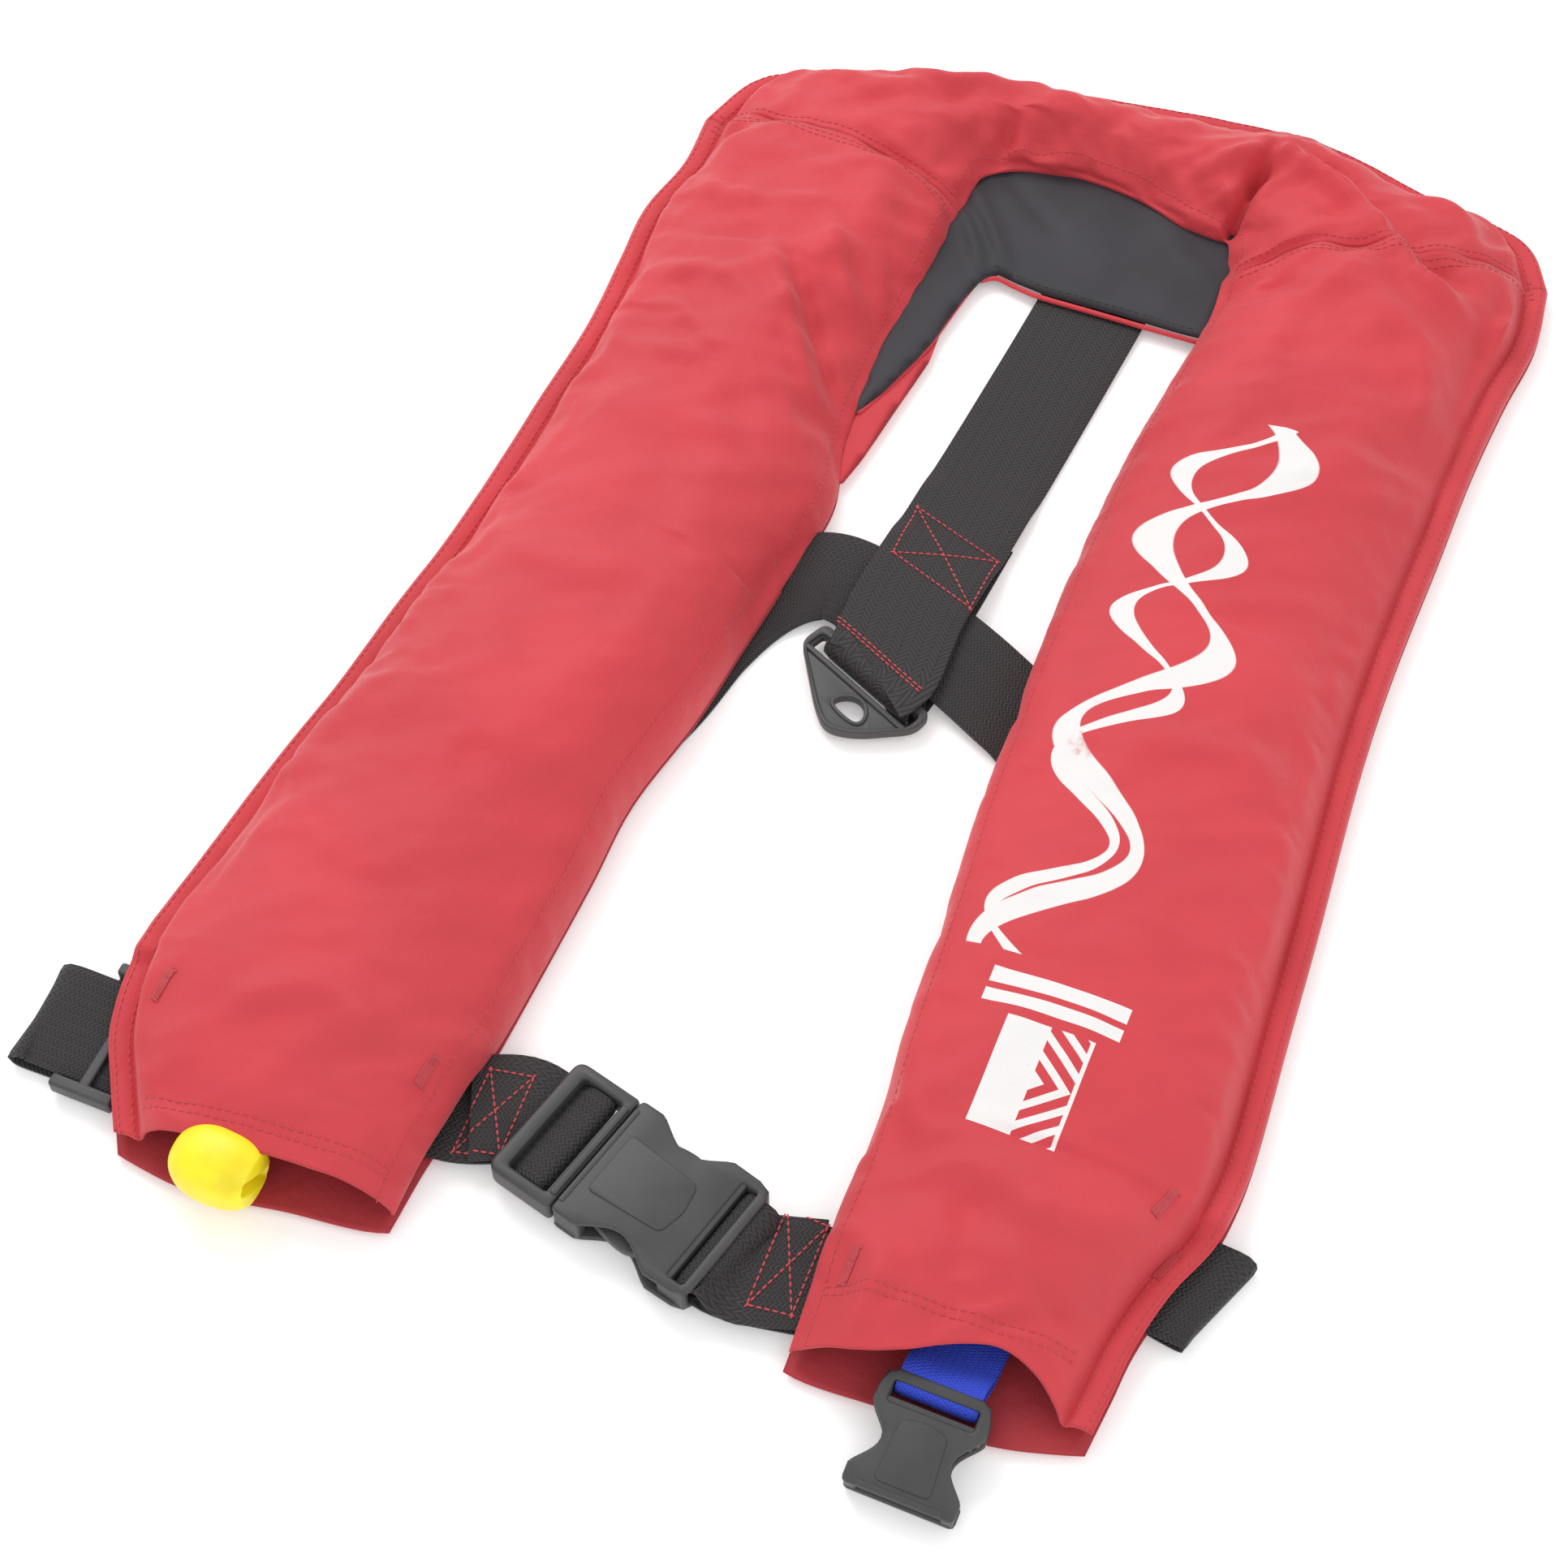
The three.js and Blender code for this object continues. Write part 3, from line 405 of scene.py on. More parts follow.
def spread(points, step):
    """The same open line with evenly spaced points, step apart or a little less."""
    pts = np.array(points, float)
    run = np.concatenate([[0], np.cumsum(np.linalg.norm(np.diff(pts, axis=0), axis=1))])
    count = max(2, int(round(run[-1] / step)) + 1)
    where = np.linspace(0, run[-1], count)
    return np.stack([np.interp(where, run, pts[:, k]) for k in range(pts.shape[1])], axis=1)


def line_distance(x, y, line):
    """Distance of every point (x, y) to a polyline, and the share of its length at the nearest place."""
    best = np.full(x.shape, 1e9)
    share = np.zeros(x.shape)
    pts = np.array(line, float)[:, :2]
    run = np.concatenate([[0], np.cumsum(np.linalg.norm(np.diff(pts, axis=0), axis=1))])
    for (a, b, start, end) in zip(pts[:-1], pts[1:], run[:-1], run[1:]):
        d = b - a
        t = np.clip(((x - a[0]) * d[0] + (y - a[1]) * d[1]) / max(float(d @ d), 1e-9), 0, 1)
        gap = np.hypot(x - a[0] - t * d[0], y - a[1] - t * d[1])
        near = gap < best
        best = np.where(near, gap, best)
        share = np.where(near, (start + t * (end - start)) / run[-1], share)
    return best, share


def mesh_object(name, verts, faces, finish=None, smooth=True, uvs=None):
    data = bpy.data.meshes.new(name)
    data.from_pydata([tuple(v) for v in verts], [], faces)
    if uvs is not None:
        layer = data.uv_layers.new(name="UVMap")
        for loop in data.loops:
            layer.data[loop.index].uv = uvs[loop.vertex_index]
    data.update()
    if smooth:
        data.shade_smooth()
    made = bpy.data.objects.new(name, data)
    bpy.context.collection.objects.link(made)
    if finish:
        data.materials.append(finish)
    return made


def outward(made, weld=None):
    """Faces turned outwards, after points within weld of each other are merged."""
    work = bmesh.new()
    work.from_mesh(made.data)
    if weld:
        bmesh.ops.remove_doubles(work, verts=work.verts, dist=weld)
    bmesh.ops.recalc_face_normals(work, faces=work.faces)
    work.to_mesh(made.data)
    work.free()
    return made


def finished_mesh(made):
    """The object's mesh as its modifiers leave it."""
    bpy.context.view_layer.update()
    return bpy.data.meshes.new_from_object(made.evaluated_get(bpy.context.evaluated_depsgraph_get()))


def settle(made):
    """Turns the object's modifiers into its own mesh."""
    data = finished_mesh(made)
    made.modifiers.clear()
    made.data = data
    return made


def with_modifier(made, kind, **settings):
    added = made.modifiers.new(kind.title(), kind)
    for key, value in settings.items():
        setattr(added, key, value)
    return added


def merged(name, parts):
    """Several mesh objects joined into one, which takes the name."""
    bpy.ops.object.select_all(action="DESELECT")
    for part in parts:
        part.select_set(True)
    bpy.context.view_layer.objects.active = parts[0]
    if len(parts) > 1:
        bpy.ops.object.join()
    parts[0].name = name
    return parts[0]


def hand_over(made, body, slot, *nodes):
    """A finished piece takes its place: it rides on a body and stands for nodes, which are hidden; slot is
    not used.
    """
    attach(made, body)
    if nodes:
        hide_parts(*nodes)
    return made


# ---------------------------------------------------------------- flat plates with rounded edges
def plate(name, outlines, z0, z1, round_, finish, turn=None, segments=2):
    """A flat plate between two heights with rounded edges; each outline is points or (x, y) pairs,
    the first the outside and the rest holes. turn places it."""
    curve = bpy.data.curves.new(name, "CURVE")
    curve.dimensions = "2D"
    curve.fill_mode = "BOTH"
    half = (z1 - z0) / 2
    curve.bevel_depth = round_ * MM
    curve.bevel_resolution = segments
    curve.extrude = (half - round_) * MM
    curve.offset = -round_ * MM
    for points in outlines:
        line = curve.splines.new("POLY")
        line.points.add(len(points) - 1)
        for point, (x, y) in zip(line.points, points):
            point.co = (x * MM, y * MM, 0, 1)
        line.use_cyclic_u = True
    holder = bpy.data.objects.new(name, curve)
    bpy.context.collection.objects.link(holder)
    bpy.context.view_layer.update()
    data = finished_mesh(holder)
    bpy.data.objects.remove(holder)
    work = bmesh.new()
    work.from_mesh(data)
    bmesh.ops.remove_doubles(work, verts=work.verts, dist=WELD)
    bmesh.ops.dissolve_degenerate(work, edges=work.edges, dist=0.00001)
    bmesh.ops.recalc_face_normals(work, faces=work.faces)
    bmesh.ops.transform(work, matrix=Matrix.Translation((0, 0, (z0 + z1) / 2 * MM)), verts=work.verts)
    if turn is not None:
        bmesh.ops.transform(work, matrix=turn, verts=work.verts)
    data.materials.clear()
    work.to_mesh(data)
    work.free()
    data.name = name
    data.shade_smooth()
    data.set_sharp_from_angle(angle=math.radians(38))
    made = bpy.data.objects.new(name, data)
    bpy.context.collection.objects.link(made)
    data.materials.append(finish)
    return made


def rounded(corners, radii, steps=5):
    """An outline whose corners are rounded; radii is one number or one for each corner."""
    count = len(corners)
    radii = radii if hasattr(radii, "__len__") else [radii] * count
    out = []
    for i, (corner, r) in enumerate(zip(corners, radii)):
        here = Vector(corner)
        before, after = Vector(corners[i - 1]) - here, Vector(corners[(i + 1) % count]) - here
        if r < 0.02:
            out.append(tuple(here))
            continue
        cut = min(r, before.length * 0.48, after.length * 0.48)
        a, b = here + before.normalized() * cut, here + after.normalized() * cut
        for k in range(steps + 1):
            t = k / steps
            out.append(tuple(a * (1 - t) ** 2 + here * 2 * t * (1 - t) + b * t * t))
    return out


def box_line(x0, x1, y0, y1, r=0.5):
    return rounded([(x0, y0), (x1, y0), (x1, y1), (x0, y1)], r)


def placed(x, y, z, turn=0.0, tilt=0.0):
    """Puts a part made about the zero point in its place: turned about z, then tilted about y."""
    return Matrix.Translation(at(x, y, z)) @ Matrix.Rotation(
        math.radians(turn), 4, "Z"
    ) @ Matrix.Rotation(math.radians(tilt), 4, "Y")


# ---------------------------------------------------------------- webbing
def webbing(name, stations, width, thick, finish, step=2.4, across=10, wave=0.0, seed=0):
    """A woven strip through stations [(centre), (width direction)], with soft selvedges. The map is
    u along it and v across it, in metres."""
    rows = [np.concatenate([np.array(c, float), np.array(w, float) / np.linalg.norm(w)]) for c, w in stations]
    line = spread(smooth_line(rows, step), step)
    centre, side = line[:, :3], line[:, 3:]
    along = np.gradient(centre, axis=0)
    along /= np.linalg.norm(along, axis=1)[:, None]
    side = side - along * (side * along).sum(1)[:, None]
    side /= np.linalg.norm(side, axis=1)[:, None]
    up = np.cross(along, side)
    run = np.concatenate([[0], np.cumsum(np.linalg.norm(np.diff(centre, axis=0), axis=1))])
    half, h = width / 2, thick / 2
    section = []
    for k in range(across + 1):
        s = -1 + 2 * k / across
        edge = min(1.0, (1 - abs(s)) * half / 1.3)
        section.append((s * half, h * (0.45 + 0.55 * math.sin(edge * math.pi / 2)), 1))
    ring = section + [(s, -t, -1) for s, t, _ in reversed(section)]
    verts, uvs = [], []
    for i in range(len(centre)):
        for s, t, face in ring:
            lift = wave * noise.noise(Vector((run[i] / 34 + seed, s / 30, seed * 1.7)))
            p = centre[i] + side[i] * s + up[i] * t
            verts.append(at(p[0], p[1], max(0.05 if face < 0 else 0.4, p[2] + lift)))
            uvs.append((run[i] * MM, (s + half) * MM))
    n = len(ring)
    faces = [
        (i * n + j, i * n + (j + 1) % n, (i + 1) * n + (j + 1) % n, (i + 1) * n + j)
        for i in range(len(centre) - 1) for j in range(n)
    ]
    faces += [tuple(range(n))[::-1], tuple(range((len(centre) - 1) * n, len(centre) * n))]
    made = outward(mesh_object(name, verts, faces, finish, uvs=uvs))
    made.data.set_sharp_from_angle(angle=math.radians(60))
    return made


# ---------------------------------------------------------------- stitches
def stitch_tree():
    """Rows of stitches along a curve: capsules a pitch apart, turned along it."""
    tree = bpy.data.node_groups.get("stitch rows")
    if tree:
        return tree
    tree = bpy.data.node_groups.new("stitch rows", "GeometryNodeTree")
    face = tree.interface
    face.new_socket("Geometry", in_out="INPUT", socket_type="NodeSocketGeometry")
    for name in ("Pitch", "Length", "Thickness"):
        face.new_socket(name, in_out="INPUT", socket_type="NodeSocketFloat")
    face.new_socket("Thread", in_out="INPUT", socket_type="NodeSocketMaterial")
    face.new_socket("Geometry", in_out="OUTPUT", socket_type="NodeSocketGeometry")
    new, link = tree.nodes.new, tree.links.new
    entry, leave = new("NodeGroupInput"), new("NodeGroupOutput")
    points = new("GeometryNodeCurveToPoints")
    points.mode = "LENGTH"
    link(entry.outputs["Geometry"], points.inputs["Curve"])
    link(entry.outputs["Pitch"], points.inputs["Length"])
    bead = new("GeometryNodeMeshUVSphere")
    bead.inputs["Segments"].default_value = 6
    bead.inputs["Rings"].default_value = 5
    bead.inputs["Radius"].default_value = 0.5
    size = new("ShaderNodeCombineXYZ")
    link(entry.outputs["Thickness"], size.inputs[0])
    link(entry.outputs["Thickness"], size.inputs[1])
    link(entry.outputs["Length"], size.inputs[2])
    lay = new("GeometryNodeInstanceOnPoints")
    link(points.outputs["Points"], lay.inputs["Points"])
    link(bead.outputs["Mesh"], lay.inputs["Instance"])
    link(points.outputs["Rotation"], lay.inputs["Rotation"])
    link(size.outputs[0], lay.inputs["Scale"])
    real, paint, smooth = new(
        "GeometryNodeRealizeInstances"
    ), new("GeometryNodeSetMaterial"), new("GeometryNodeSetShadeSmooth")
    link(lay.outputs[0], real.inputs[0])
    link(real.outputs[0], smooth.inputs[0])
    link(smooth.outputs[0], paint.inputs[0])
    link(entry.outputs["Thread"], paint.inputs["Material"])
    link(paint.outputs[0], leave.inputs[0])
    return tree


def sewn(name, rows, pitch, length, thick, finish):
    """Stitches along rows of frame points (Vectors), as one plain mesh."""
    curve = bpy.data.curves.new(name, "CURVE")
    curve.dimensions = "3D"
    for row in [part for row in rows for part in (row if isinstance(row[0], list) else [row])]:
        line = curve.splines.new("POLY")
        line.points.add(len(row) - 1)
        for point, p in zip(line.points, row):
            point.co = (*p, 1)
    holder = bpy.data.objects.new(name, curve)
    bpy.context.collection.objects.link(holder)
    tree = stitch_tree()
    modifier = holder.modifiers.new("Stitches", "NODES")
    modifier.node_group = tree
    sockets = {s.name: s.identifier for s in tree.interface.items_tree if s.in_out == "INPUT"}
    for key, value in (("Pitch", pitch), ("Length", length), ("Thickness", thick), ("Thread", finish)):
        modifier[sockets[key]] = value
    bpy.context.view_layer.update()
    data = finished_mesh(holder)
    bpy.data.objects.remove(holder)
    made = bpy.data.objects.new(name, data)
    bpy.context.collection.objects.link(made)
    return made


class Surface:
    """Finds the height of a finished mesh under a place of the layout."""

    def __init__(self, made):
        work = bmesh.new()
        work.from_mesh(made.data)
        self.tree = BVHTree.FromBMesh(work)
        work.free()

    def height(self, x, y):
        hit = self.tree.ray_cast(at(x, y, 200), Vector((0, 0, -1)))
        return hit[0].z / MM if hit[0] is not None else None

    def row(self, points, lift=0.15, step=1.5):
        """Rows of points over the mesh; one row breaks where the mesh has a hole or ends."""
        rows = [[]]
        for x, y in spread([p[:2] for p in points], step):
            z = self.height(x, y)
            if z is None:
                rows.append([])
            else:
                rows[-1].append(at(x, y, z + lift))
        return [row for row in rows if len(row) > 3]


# ---------------------------------------------------------------- the cover's plan
# Stations up the left lobe, round the yoke and down the right lobe:
# outer edge x, y, inner edge x, y, crown height, outer edge's height, inner edge's height.
LEFT = [
    (-172, -296, -71, -286, 27, 9.6, 6.0),
    (-183, -279, -70.5, -267, 36, 9.8, 9.5),
    (-193, -262, -69, -250, 40, 10.0, 11.0),
    (-199, -240, -68, -232, 44.2, 10.0, 10.5),
    (-201, -222, -67, -218, 44.2, 6.0, 5.0),
    (-199.5, -190, -66.5, -190, 44.2, 3.2, 3.4),
    (-195, -140, -66, -142, 44.2, 3.2, 3.2),
    (-190, -100, -66.5, -104, 44.2, 3.2, 3.2),
    (-187, -60, -60, -62, 44.2, 3.2, 3.2),
    (-183, -20, -57, -24, 40, 3.2, 3.2),
    (-181.5, 20, -54, 14, 39, 3.2, 3.2),
    (-181, 60, -51, 52, 38, 3.2, 3.2),
    (-180, 100, -60, 88, 37, 3.2, 3.2),
    (-183, 140, -63, 134, 36, 3.2, 3.2),
    (-185.5, 170, -62, 166, 35, 3.2, 3.2),
    (-181, 200, -62, 200, 34, 3.2, 3.2),
    (-183, 228.6, -61.5, 220, 31, 3.2, 3.2),
]
YOKE = [
    (-183, 228.6, -61.5, 220, 31, 3.2, 3.2),
    (-174, 257, -61, 238, 32, 3.2, 6.6),
    (-158, 270, -58, 245, 33, 3.2, 7.0),
    (-134, 282, -48, 252, 32, 3.2, 7.0),
    (-100, 293, -33, 256, 32, 3.2, 7.0),
    (-60, 302, -18, 258, 31, 3.2, 7.0),
    (0, 312, 6, 255, 31, 3.2, 7.0),
    (47, 317, 25, 248, 31, 3.2, 7.0),
    (64, 318, 31, 247, 32, 3.2, 7.0),
    (92, 312, 40, 246, 33, 3.2, 7.0),
    (124, 302, 47, 246, 34, 3.2, 7.0),
    (150, 298, 50, 240, 34, 3.2, 7.0),
    (167, 290, 52, 232, 35, 3.2, 3.2),
    (178.5, 270, 52.5, 222.5, 34, 3.2, 7.0),
]
RIGHT = [
    (178.5, 270, 52.5, 222.5, 34, 3.2, 7.0),
    (181.5, 240, 54, 207, 37, 3.2, 7.4),
    (178, 206, 53.5, 192, 38, 3.2, 7.0),
    (175.5, 165, 48.5, 152, 38, 3.2, 3.2),
    (175, 120, 46, 112, 38, 3.2, 3.2),
    (174, 60, 46, 60, 38, 3.2, 3.2),
    (175.5, 10, 49, 10, 41.6, 3.2, 3.2),
    (181, -60, 53, -64, 41.6, 3.2, 3.2),
    (184, -105, 57, -105, 41.6, 3.2, 3.2),
    (187.5, -155, 61, -158, 41.6, 4.0, 3.2),
    (187, -180, 63.5, -184, 38, 8.0, 3.6),
    (184, -196, 65, -200, 38, 9.6, 7.0),
    (177, -214, 66, -216, 37, 9.8, 10.0),
    (172, -236, 66, -244, 35, 9.8, 11.0),
    (170.5, -254, 67.5, -262, 31, 9.8, 10.5),
    (169, -270, 68.5, -280, 26, 9.6, 6.0),
]
FOLD_UP, FOLD_DOWN = 1.9, 1.35  # how far the folds' rises are taken, up and down
SHOULDER_CRUMPLE = 0.7  # how much more the cloth crumples at the shoulders and the yoke
CROWN, CROWN_SLACK = 43.4, 2.2  # folds flatten above this height, and end this much over it
FILM_DROP = 3.0  # how much lower the folded film lies than the solid that stands for it, mm
FLAP_POINTS = 11  # points of the cover's section on its closure flap and the seam beside it
MOUTH = [((132, -262), 24, 14.0)]  # where the right lobe's end is drawn up: place, reach, how far

# Soft features of the cover: line, half width and rise of a fold, in mm.
FOLDS = [
    ([(-114, 154), (-90, 122), (-62, 88)], 3.4, -6.5),
    ([(-104, 176), (-88, 150), (-72, 132)], 4.4, 3.2),
    ([(-166, 178), (-140, 170), (-104, 182)], 4.6, 2.6),
    ([(-172, 150), (-146, 146), (-118, 156)], 4.2, -2.2),
    ([(-160, 120), (-132, 126), (-106, 112)], 5.0, 2.4),
    ([(-166, 86), (-136, 80), (-104, 92)], 6.0, 1.8),
    ([(-64, 282), (-84, 270), (-110, 274)], 4.2, 2.4),
    ([(-20, 268), (-4, 284), (14, 296)], 4.0, -2.4),
    ([(28, 262), (44, 276), (72, 284)], 3.6, 2.8),
    ([(150, 262), (138, 276), (116, 286)], 4.6, 2.2),
    ([(66, 232), (78, 214), (92, 202)], 3.8, -3.0),
    ([(132, 208), (146, 188), (152, 160)], 4.8, 2.2),
    ([(-118, 146), (-96, 116), (-68, 80)], 5.0, 3.4),
    ([(-150, 40), (-120, 55), (-84, 40)], 9.0, 1.6),
    ([(-176, 196), (-140, 205), (-110, 196)], 7.0, 2.0),
    ([(-168, -18), (-130, -36), (-92, -30)], 10.0, 1.8),
    ([(-172, -120), (-128, -108), (-86, -124)], 11.0, 1.6),
    ([(-178, -206), (-140, -192), (-90, -206)], 8.0, -1.8),
    ([(-150, -252), (-120, -232), (-92, -246)], 8.0, 2.2),
    ([(-158, -288), (-140, -262), (-128, -240)], 5.0, -2.6),
    ([(-100, -286), (-98, -262), (-88, -240)], 5.0, -2.4),
    ([(-60, 286), (-30, 276), (4, 288)], 6.0, 1.8),
    ([(-150, 262), (-120, 256), (-90, 266)], 6.0, 1.7),
    ([(-120, 240), (-96, 258), (-64, 262)], 5.0, -2.2),
    ([(20, 270), (60, 290), (98, 292)], 6.0, 2.2),
    ([(50, 284), (73, 274), (97, 261), (117, 244), (133, 230), (156, 222)], 3.6, 7.0),
    ([(47, 242), (50, 262), (54, 286)], 2.6, -12.0),
    ([(-58, 242), (-54, 266)], 2.4, -8.0),
    ([(56, 286), (84, 278), (108, 262), (128, 246), (160, 236)], 4.0, -4.6),
    ([(62, 250), (88, 232), (110, 212), (150, 196)], 7.0, 2.0),
    ([(60, 212), (80, 204), (104, 182)], 7.0, -2.0),
    ([(162, 240), (160, 206), (164, 170)], 4.5, -3.0),
    ([(170, 250), (171, 214), (172, 180)], 3.4, 3.0),
    ([(156, 120), (130, 128), (98, 118)], 10.0, 1.6),
    ([(64, 32), (92, 24), (126, 34)], 9.0, -1.6),
    ([(160, -30), (128, -22), (90, -36)], 9.0, 1.6),
    ([(74, -120), (104, -132), (150, -124)], 10.0, -1.5),
    ([(176, -176), (140, -190), (92, -184)], 7.0, -2.2),
    ([(168, -200), (136, -214), (96, -206)], 6.0, 2.2),
    ([(150, -262), (140, -238), (128, -214)], 5.0, -2.6),
    ([(110, -258), (112, -238), (104, -216)], 5.0, -2.4),
    ([(84, -276), (88, -252), (84, -234)], 5.0, 2.0),
]


def puckers(x, y):
    """Small gathers along the two shoulder seams."""
    rise = np.zeros(x.shape)
    for line, turns in (
        ([(-183, 228.5), (-140, 231), (-61.5, 219.5)], 17), ([(179, 269.7), (120, 248), (52.5, 222)], 17)
    ):
        gap, share = line_distance(x, y, line)
        rise += 0.9 * np.exp(-((gap - 6) / 5.0) ** 2) * np.sin(share * turns * 2 * math.pi)
    return rise


def profile(width, crown, outer, inner, powers, cells):
    """Section of the cover across a lobe: distance in from the outer edge and height, from the
    rolled outer edge over the closure flap and the lobe to the rolled inner edge."""
    top = outer + 7.4 if outer < 9 else outer + 1.6
    band = [
        (1.2, outer), (0.3, outer + 0.2 * (top - outer)), (0.0, outer + 0.55 * (top - outer)),
        (0.7, top - 0.9), (2.2, top), (4.6, top + 0.25), (7.0, top - 0.1), (8.8, top - 0.7),
        (BAND - 0.4, top - 1.3), (BAND, top - 1.5)
    ]
    rows = list(band)
    foot = top - 1.5
    for k in range(1, cells):
        u = (1 - math.cos(math.pi * k / cells)) / 2
        u = 0.55 * u + 0.45 * k / cells
        rise = (1 - abs(2 * u - 1) ** 2.5) ** (powers[0] * (1 - u) + powers[1] * u)
        base = foot * (1 - u) + (inner + 1.5) * u
        rows.append((BAND + (width - BAND) * u, base + (crown - base) * rise))
    rows += [(width, inner + 2.6), (width - 0.1, inner + 1.2), (width - 1.0, inner)]
    return rows


def lobe_skin(stations, step, cells=26):
    """The cover's cloth over one lobe: points as a grid of rows, in layout mm."""
    line = spread(smooth_line(stations, step), step)
    grid = []
    for st in line:
        outer, inner = np.array(st[:2]), np.array(st[2:4])
        across = inner - outer
        width = float(np.linalg.norm(across))
        across /= width
        row = []
        low, high = (-400, -60) if st[0] < 0 else (-190, 20)  # over the cylinder, and over the oral tube
        away = max(low - st[1], st[1] - high, 0)
        full = max(0.0, 1 - away / 60)
        slack, tight = (0.62, 0.85), (0.46, 0.66) if st[0] < 0 else (0.62, 0.36)
        powers = [a + (b - a) * full for a, b in zip(slack, tight)]
        for d, z in profile(width, st[4], st[5], st[6], powers, cells):
            p = outer + across * d
            row.append((p[0], p[1], z))
        grid.append(row)
    return np.array(grid)


def sculpt(made, grid, ends):
    """Folds, gathers and unevenness of real cloth, less on the flap and at the edges."""
    place = np.array([v.co for v in made.data.vertices]) / MM - np.array(ORIGIN) / MM
    x, y, z = place[:, 0], place[:, 1], place[:, 2]
    body = np.clip((z - 8.5) / 11.0, 0, 1)
    rise = puckers(x, y)
    for line, reach, height in FOLDS:
        pts = smooth_line([np.array(p, float) for p in line], 6)
        gap, share = line_distance(x, y, pts)
        fade = np.clip(np.sin(math.pi * np.clip(share, 0.02, 0.98)) * 1.8, 0, 1)
        rise += (FOLD_UP if height > 0 else FOLD_DOWN) * height * np.exp(-((gap / reach) ** 2)) * fade
    crumple = 1.0 + SHOULDER_CRUMPLE * np.clip((y - 60) / 70, 0, 1)
    for i in range(len(x)):
        px, py = x[i] / 40, y[i] / 40
        broad = noise.noise(Vector((px, py * 0.8, 3.1)))
        slant = noise.noise(Vector(((px * 0.8 + py * 0.6) * 0.9, (py * 0.8 - px * 0.6) * 2.6, 8.3)))
        fine = noise.noise(Vector(((px * 0.7 - py * 0.7) * 2.0, (py * 0.7 + px * 0.7) * 5.5, 1.9)))
        rise[i] += 1.8 * broad + crumple[i] * (3.8 * (0.25 - abs(slant)) + 1.9 * (0.25 - abs(fine)))
    rows, cols = grid.shape[:2]
    row = np.repeat(np.arange(rows), cols)
    for end, drop in ends:  # the cloth dips to the seam at a lobe's sewn end
        rise -= drop * np.exp(-(((row - end % rows) / 1.6) ** 2))
    rise = np.where((x > 60) & (y < 35) & (y > -190) | (x < -60) & (y < -40), np.maximum(rise, -0.5), rise)
    z = z + rise * body
    z = np.where(z > CROWN, CROWN + CROWN_SLACK * (1 - np.exp((CROWN - z) / CROWN_SLACK)), z)
    for (mx, my), reach, lift in MOUTH:
        near = np.exp(-(((x - mx) / reach) ** 2)) * np.clip((my + 30 - y) / 38, 0, 1)
        y = y + near * lift * body
    for vertex, px, py, pz in zip(made.data.vertices, x, y, z):
        vertex.co = at(px, py, pz)


def grid_mesh(name, grid, finish):
    rows, cols = grid.shape[:2]
    verts = [at(*p) for p in grid.reshape(-1, 3)]
    faces = [
        (i * cols + j, (i + 1) * cols + j, (i + 1) * cols + j + 1, i * cols + j + 1) for i in range(rows - 1)
        for j in range(cols - 1)
    ]
    return mesh_object(name, verts, faces, finish)


def settle_cloth(made, grid, frames, cap, loose=0.06, push=0.3):
    """The cloth relaxes over its filling, held along the flap's seam, its inner edge and its ends;
    no point may move further than cap, in mm."""
    rows, cols = grid.shape[:2]
    held = made.vertex_groups.new(name="held")
    fixed = [
        i * cols + j for i in range(rows) for j in range(cols)
        if j < FLAP_POINTS or j > cols - 4 or i < 2 or i > rows - 3
    ]
    held.add(fixed, 1.0, "REPLACE")
    cloth = made.modifiers.new("Cloth", "CLOTH")
    s = cloth.settings
    s.quality = 6
    s.mass = 0.15
    s.tension_stiffness = s.compression_stiffness = 18
    s.shear_stiffness = 8
    s.bending_stiffness = 0.35
    s.shrink_min = -loose
    s.use_pressure = True
    s.uniform_pressure_force = push
    s.vertex_group_mass = "held"
    s.effector_weights.gravity = 0.12
    cloth.collision_settings.use_collision = False
    cloth.point_cache.frame_start, cloth.point_cache.frame_end = 1, frames
    before = np.array([v.co for v in made.data.vertices])
    scene = bpy.context.scene
    for step in range(1, frames + 1):
        scene.frame_set(step)
    seen = made.evaluated_get(bpy.context.evaluated_depsgraph_get())
    after = np.array([v.co for v in seen.data.vertices])
    made.modifiers.clear()
    scene.frame_set(1)
    move = after - before
    size = np.linalg.norm(move, axis=1)
    limit = cap * MM
    move *= (limit * np.tanh(size / limit) / np.maximum(size, 1e-9))[:, None]
    for vertex, co in zip(made.data.vertices, before + move):
        vertex.co = co
    made.vertex_groups.clear()


def lobe(name, stations, sizes, finish, ends):
    """One lobe of the cover as cloth with thickness, open at its mouth."""
    step = sizes.skin_step / MM
    grid = lobe_skin(stations, step)
    made = grid_mesh(name, grid, finish)
    settle_cloth(made, grid, sizes.settle_frames, 2.6)
    sculpt(made, grid, ends)
    with_modifier(made, "SUBSURF", levels=1, render_levels=1)
    settle(made)
    made.data.shade_smooth()
    if sum(p.normal.z for p in made.data.polygons) < 0:
        made.data.flip_normals()
    with_modifier(made, "SOLIDIFY", thickness=SKIN * MM, offset=-1.0)
    settle(made)
    made.data.materials.clear()
    made.data.materials.append(finish)
    return made


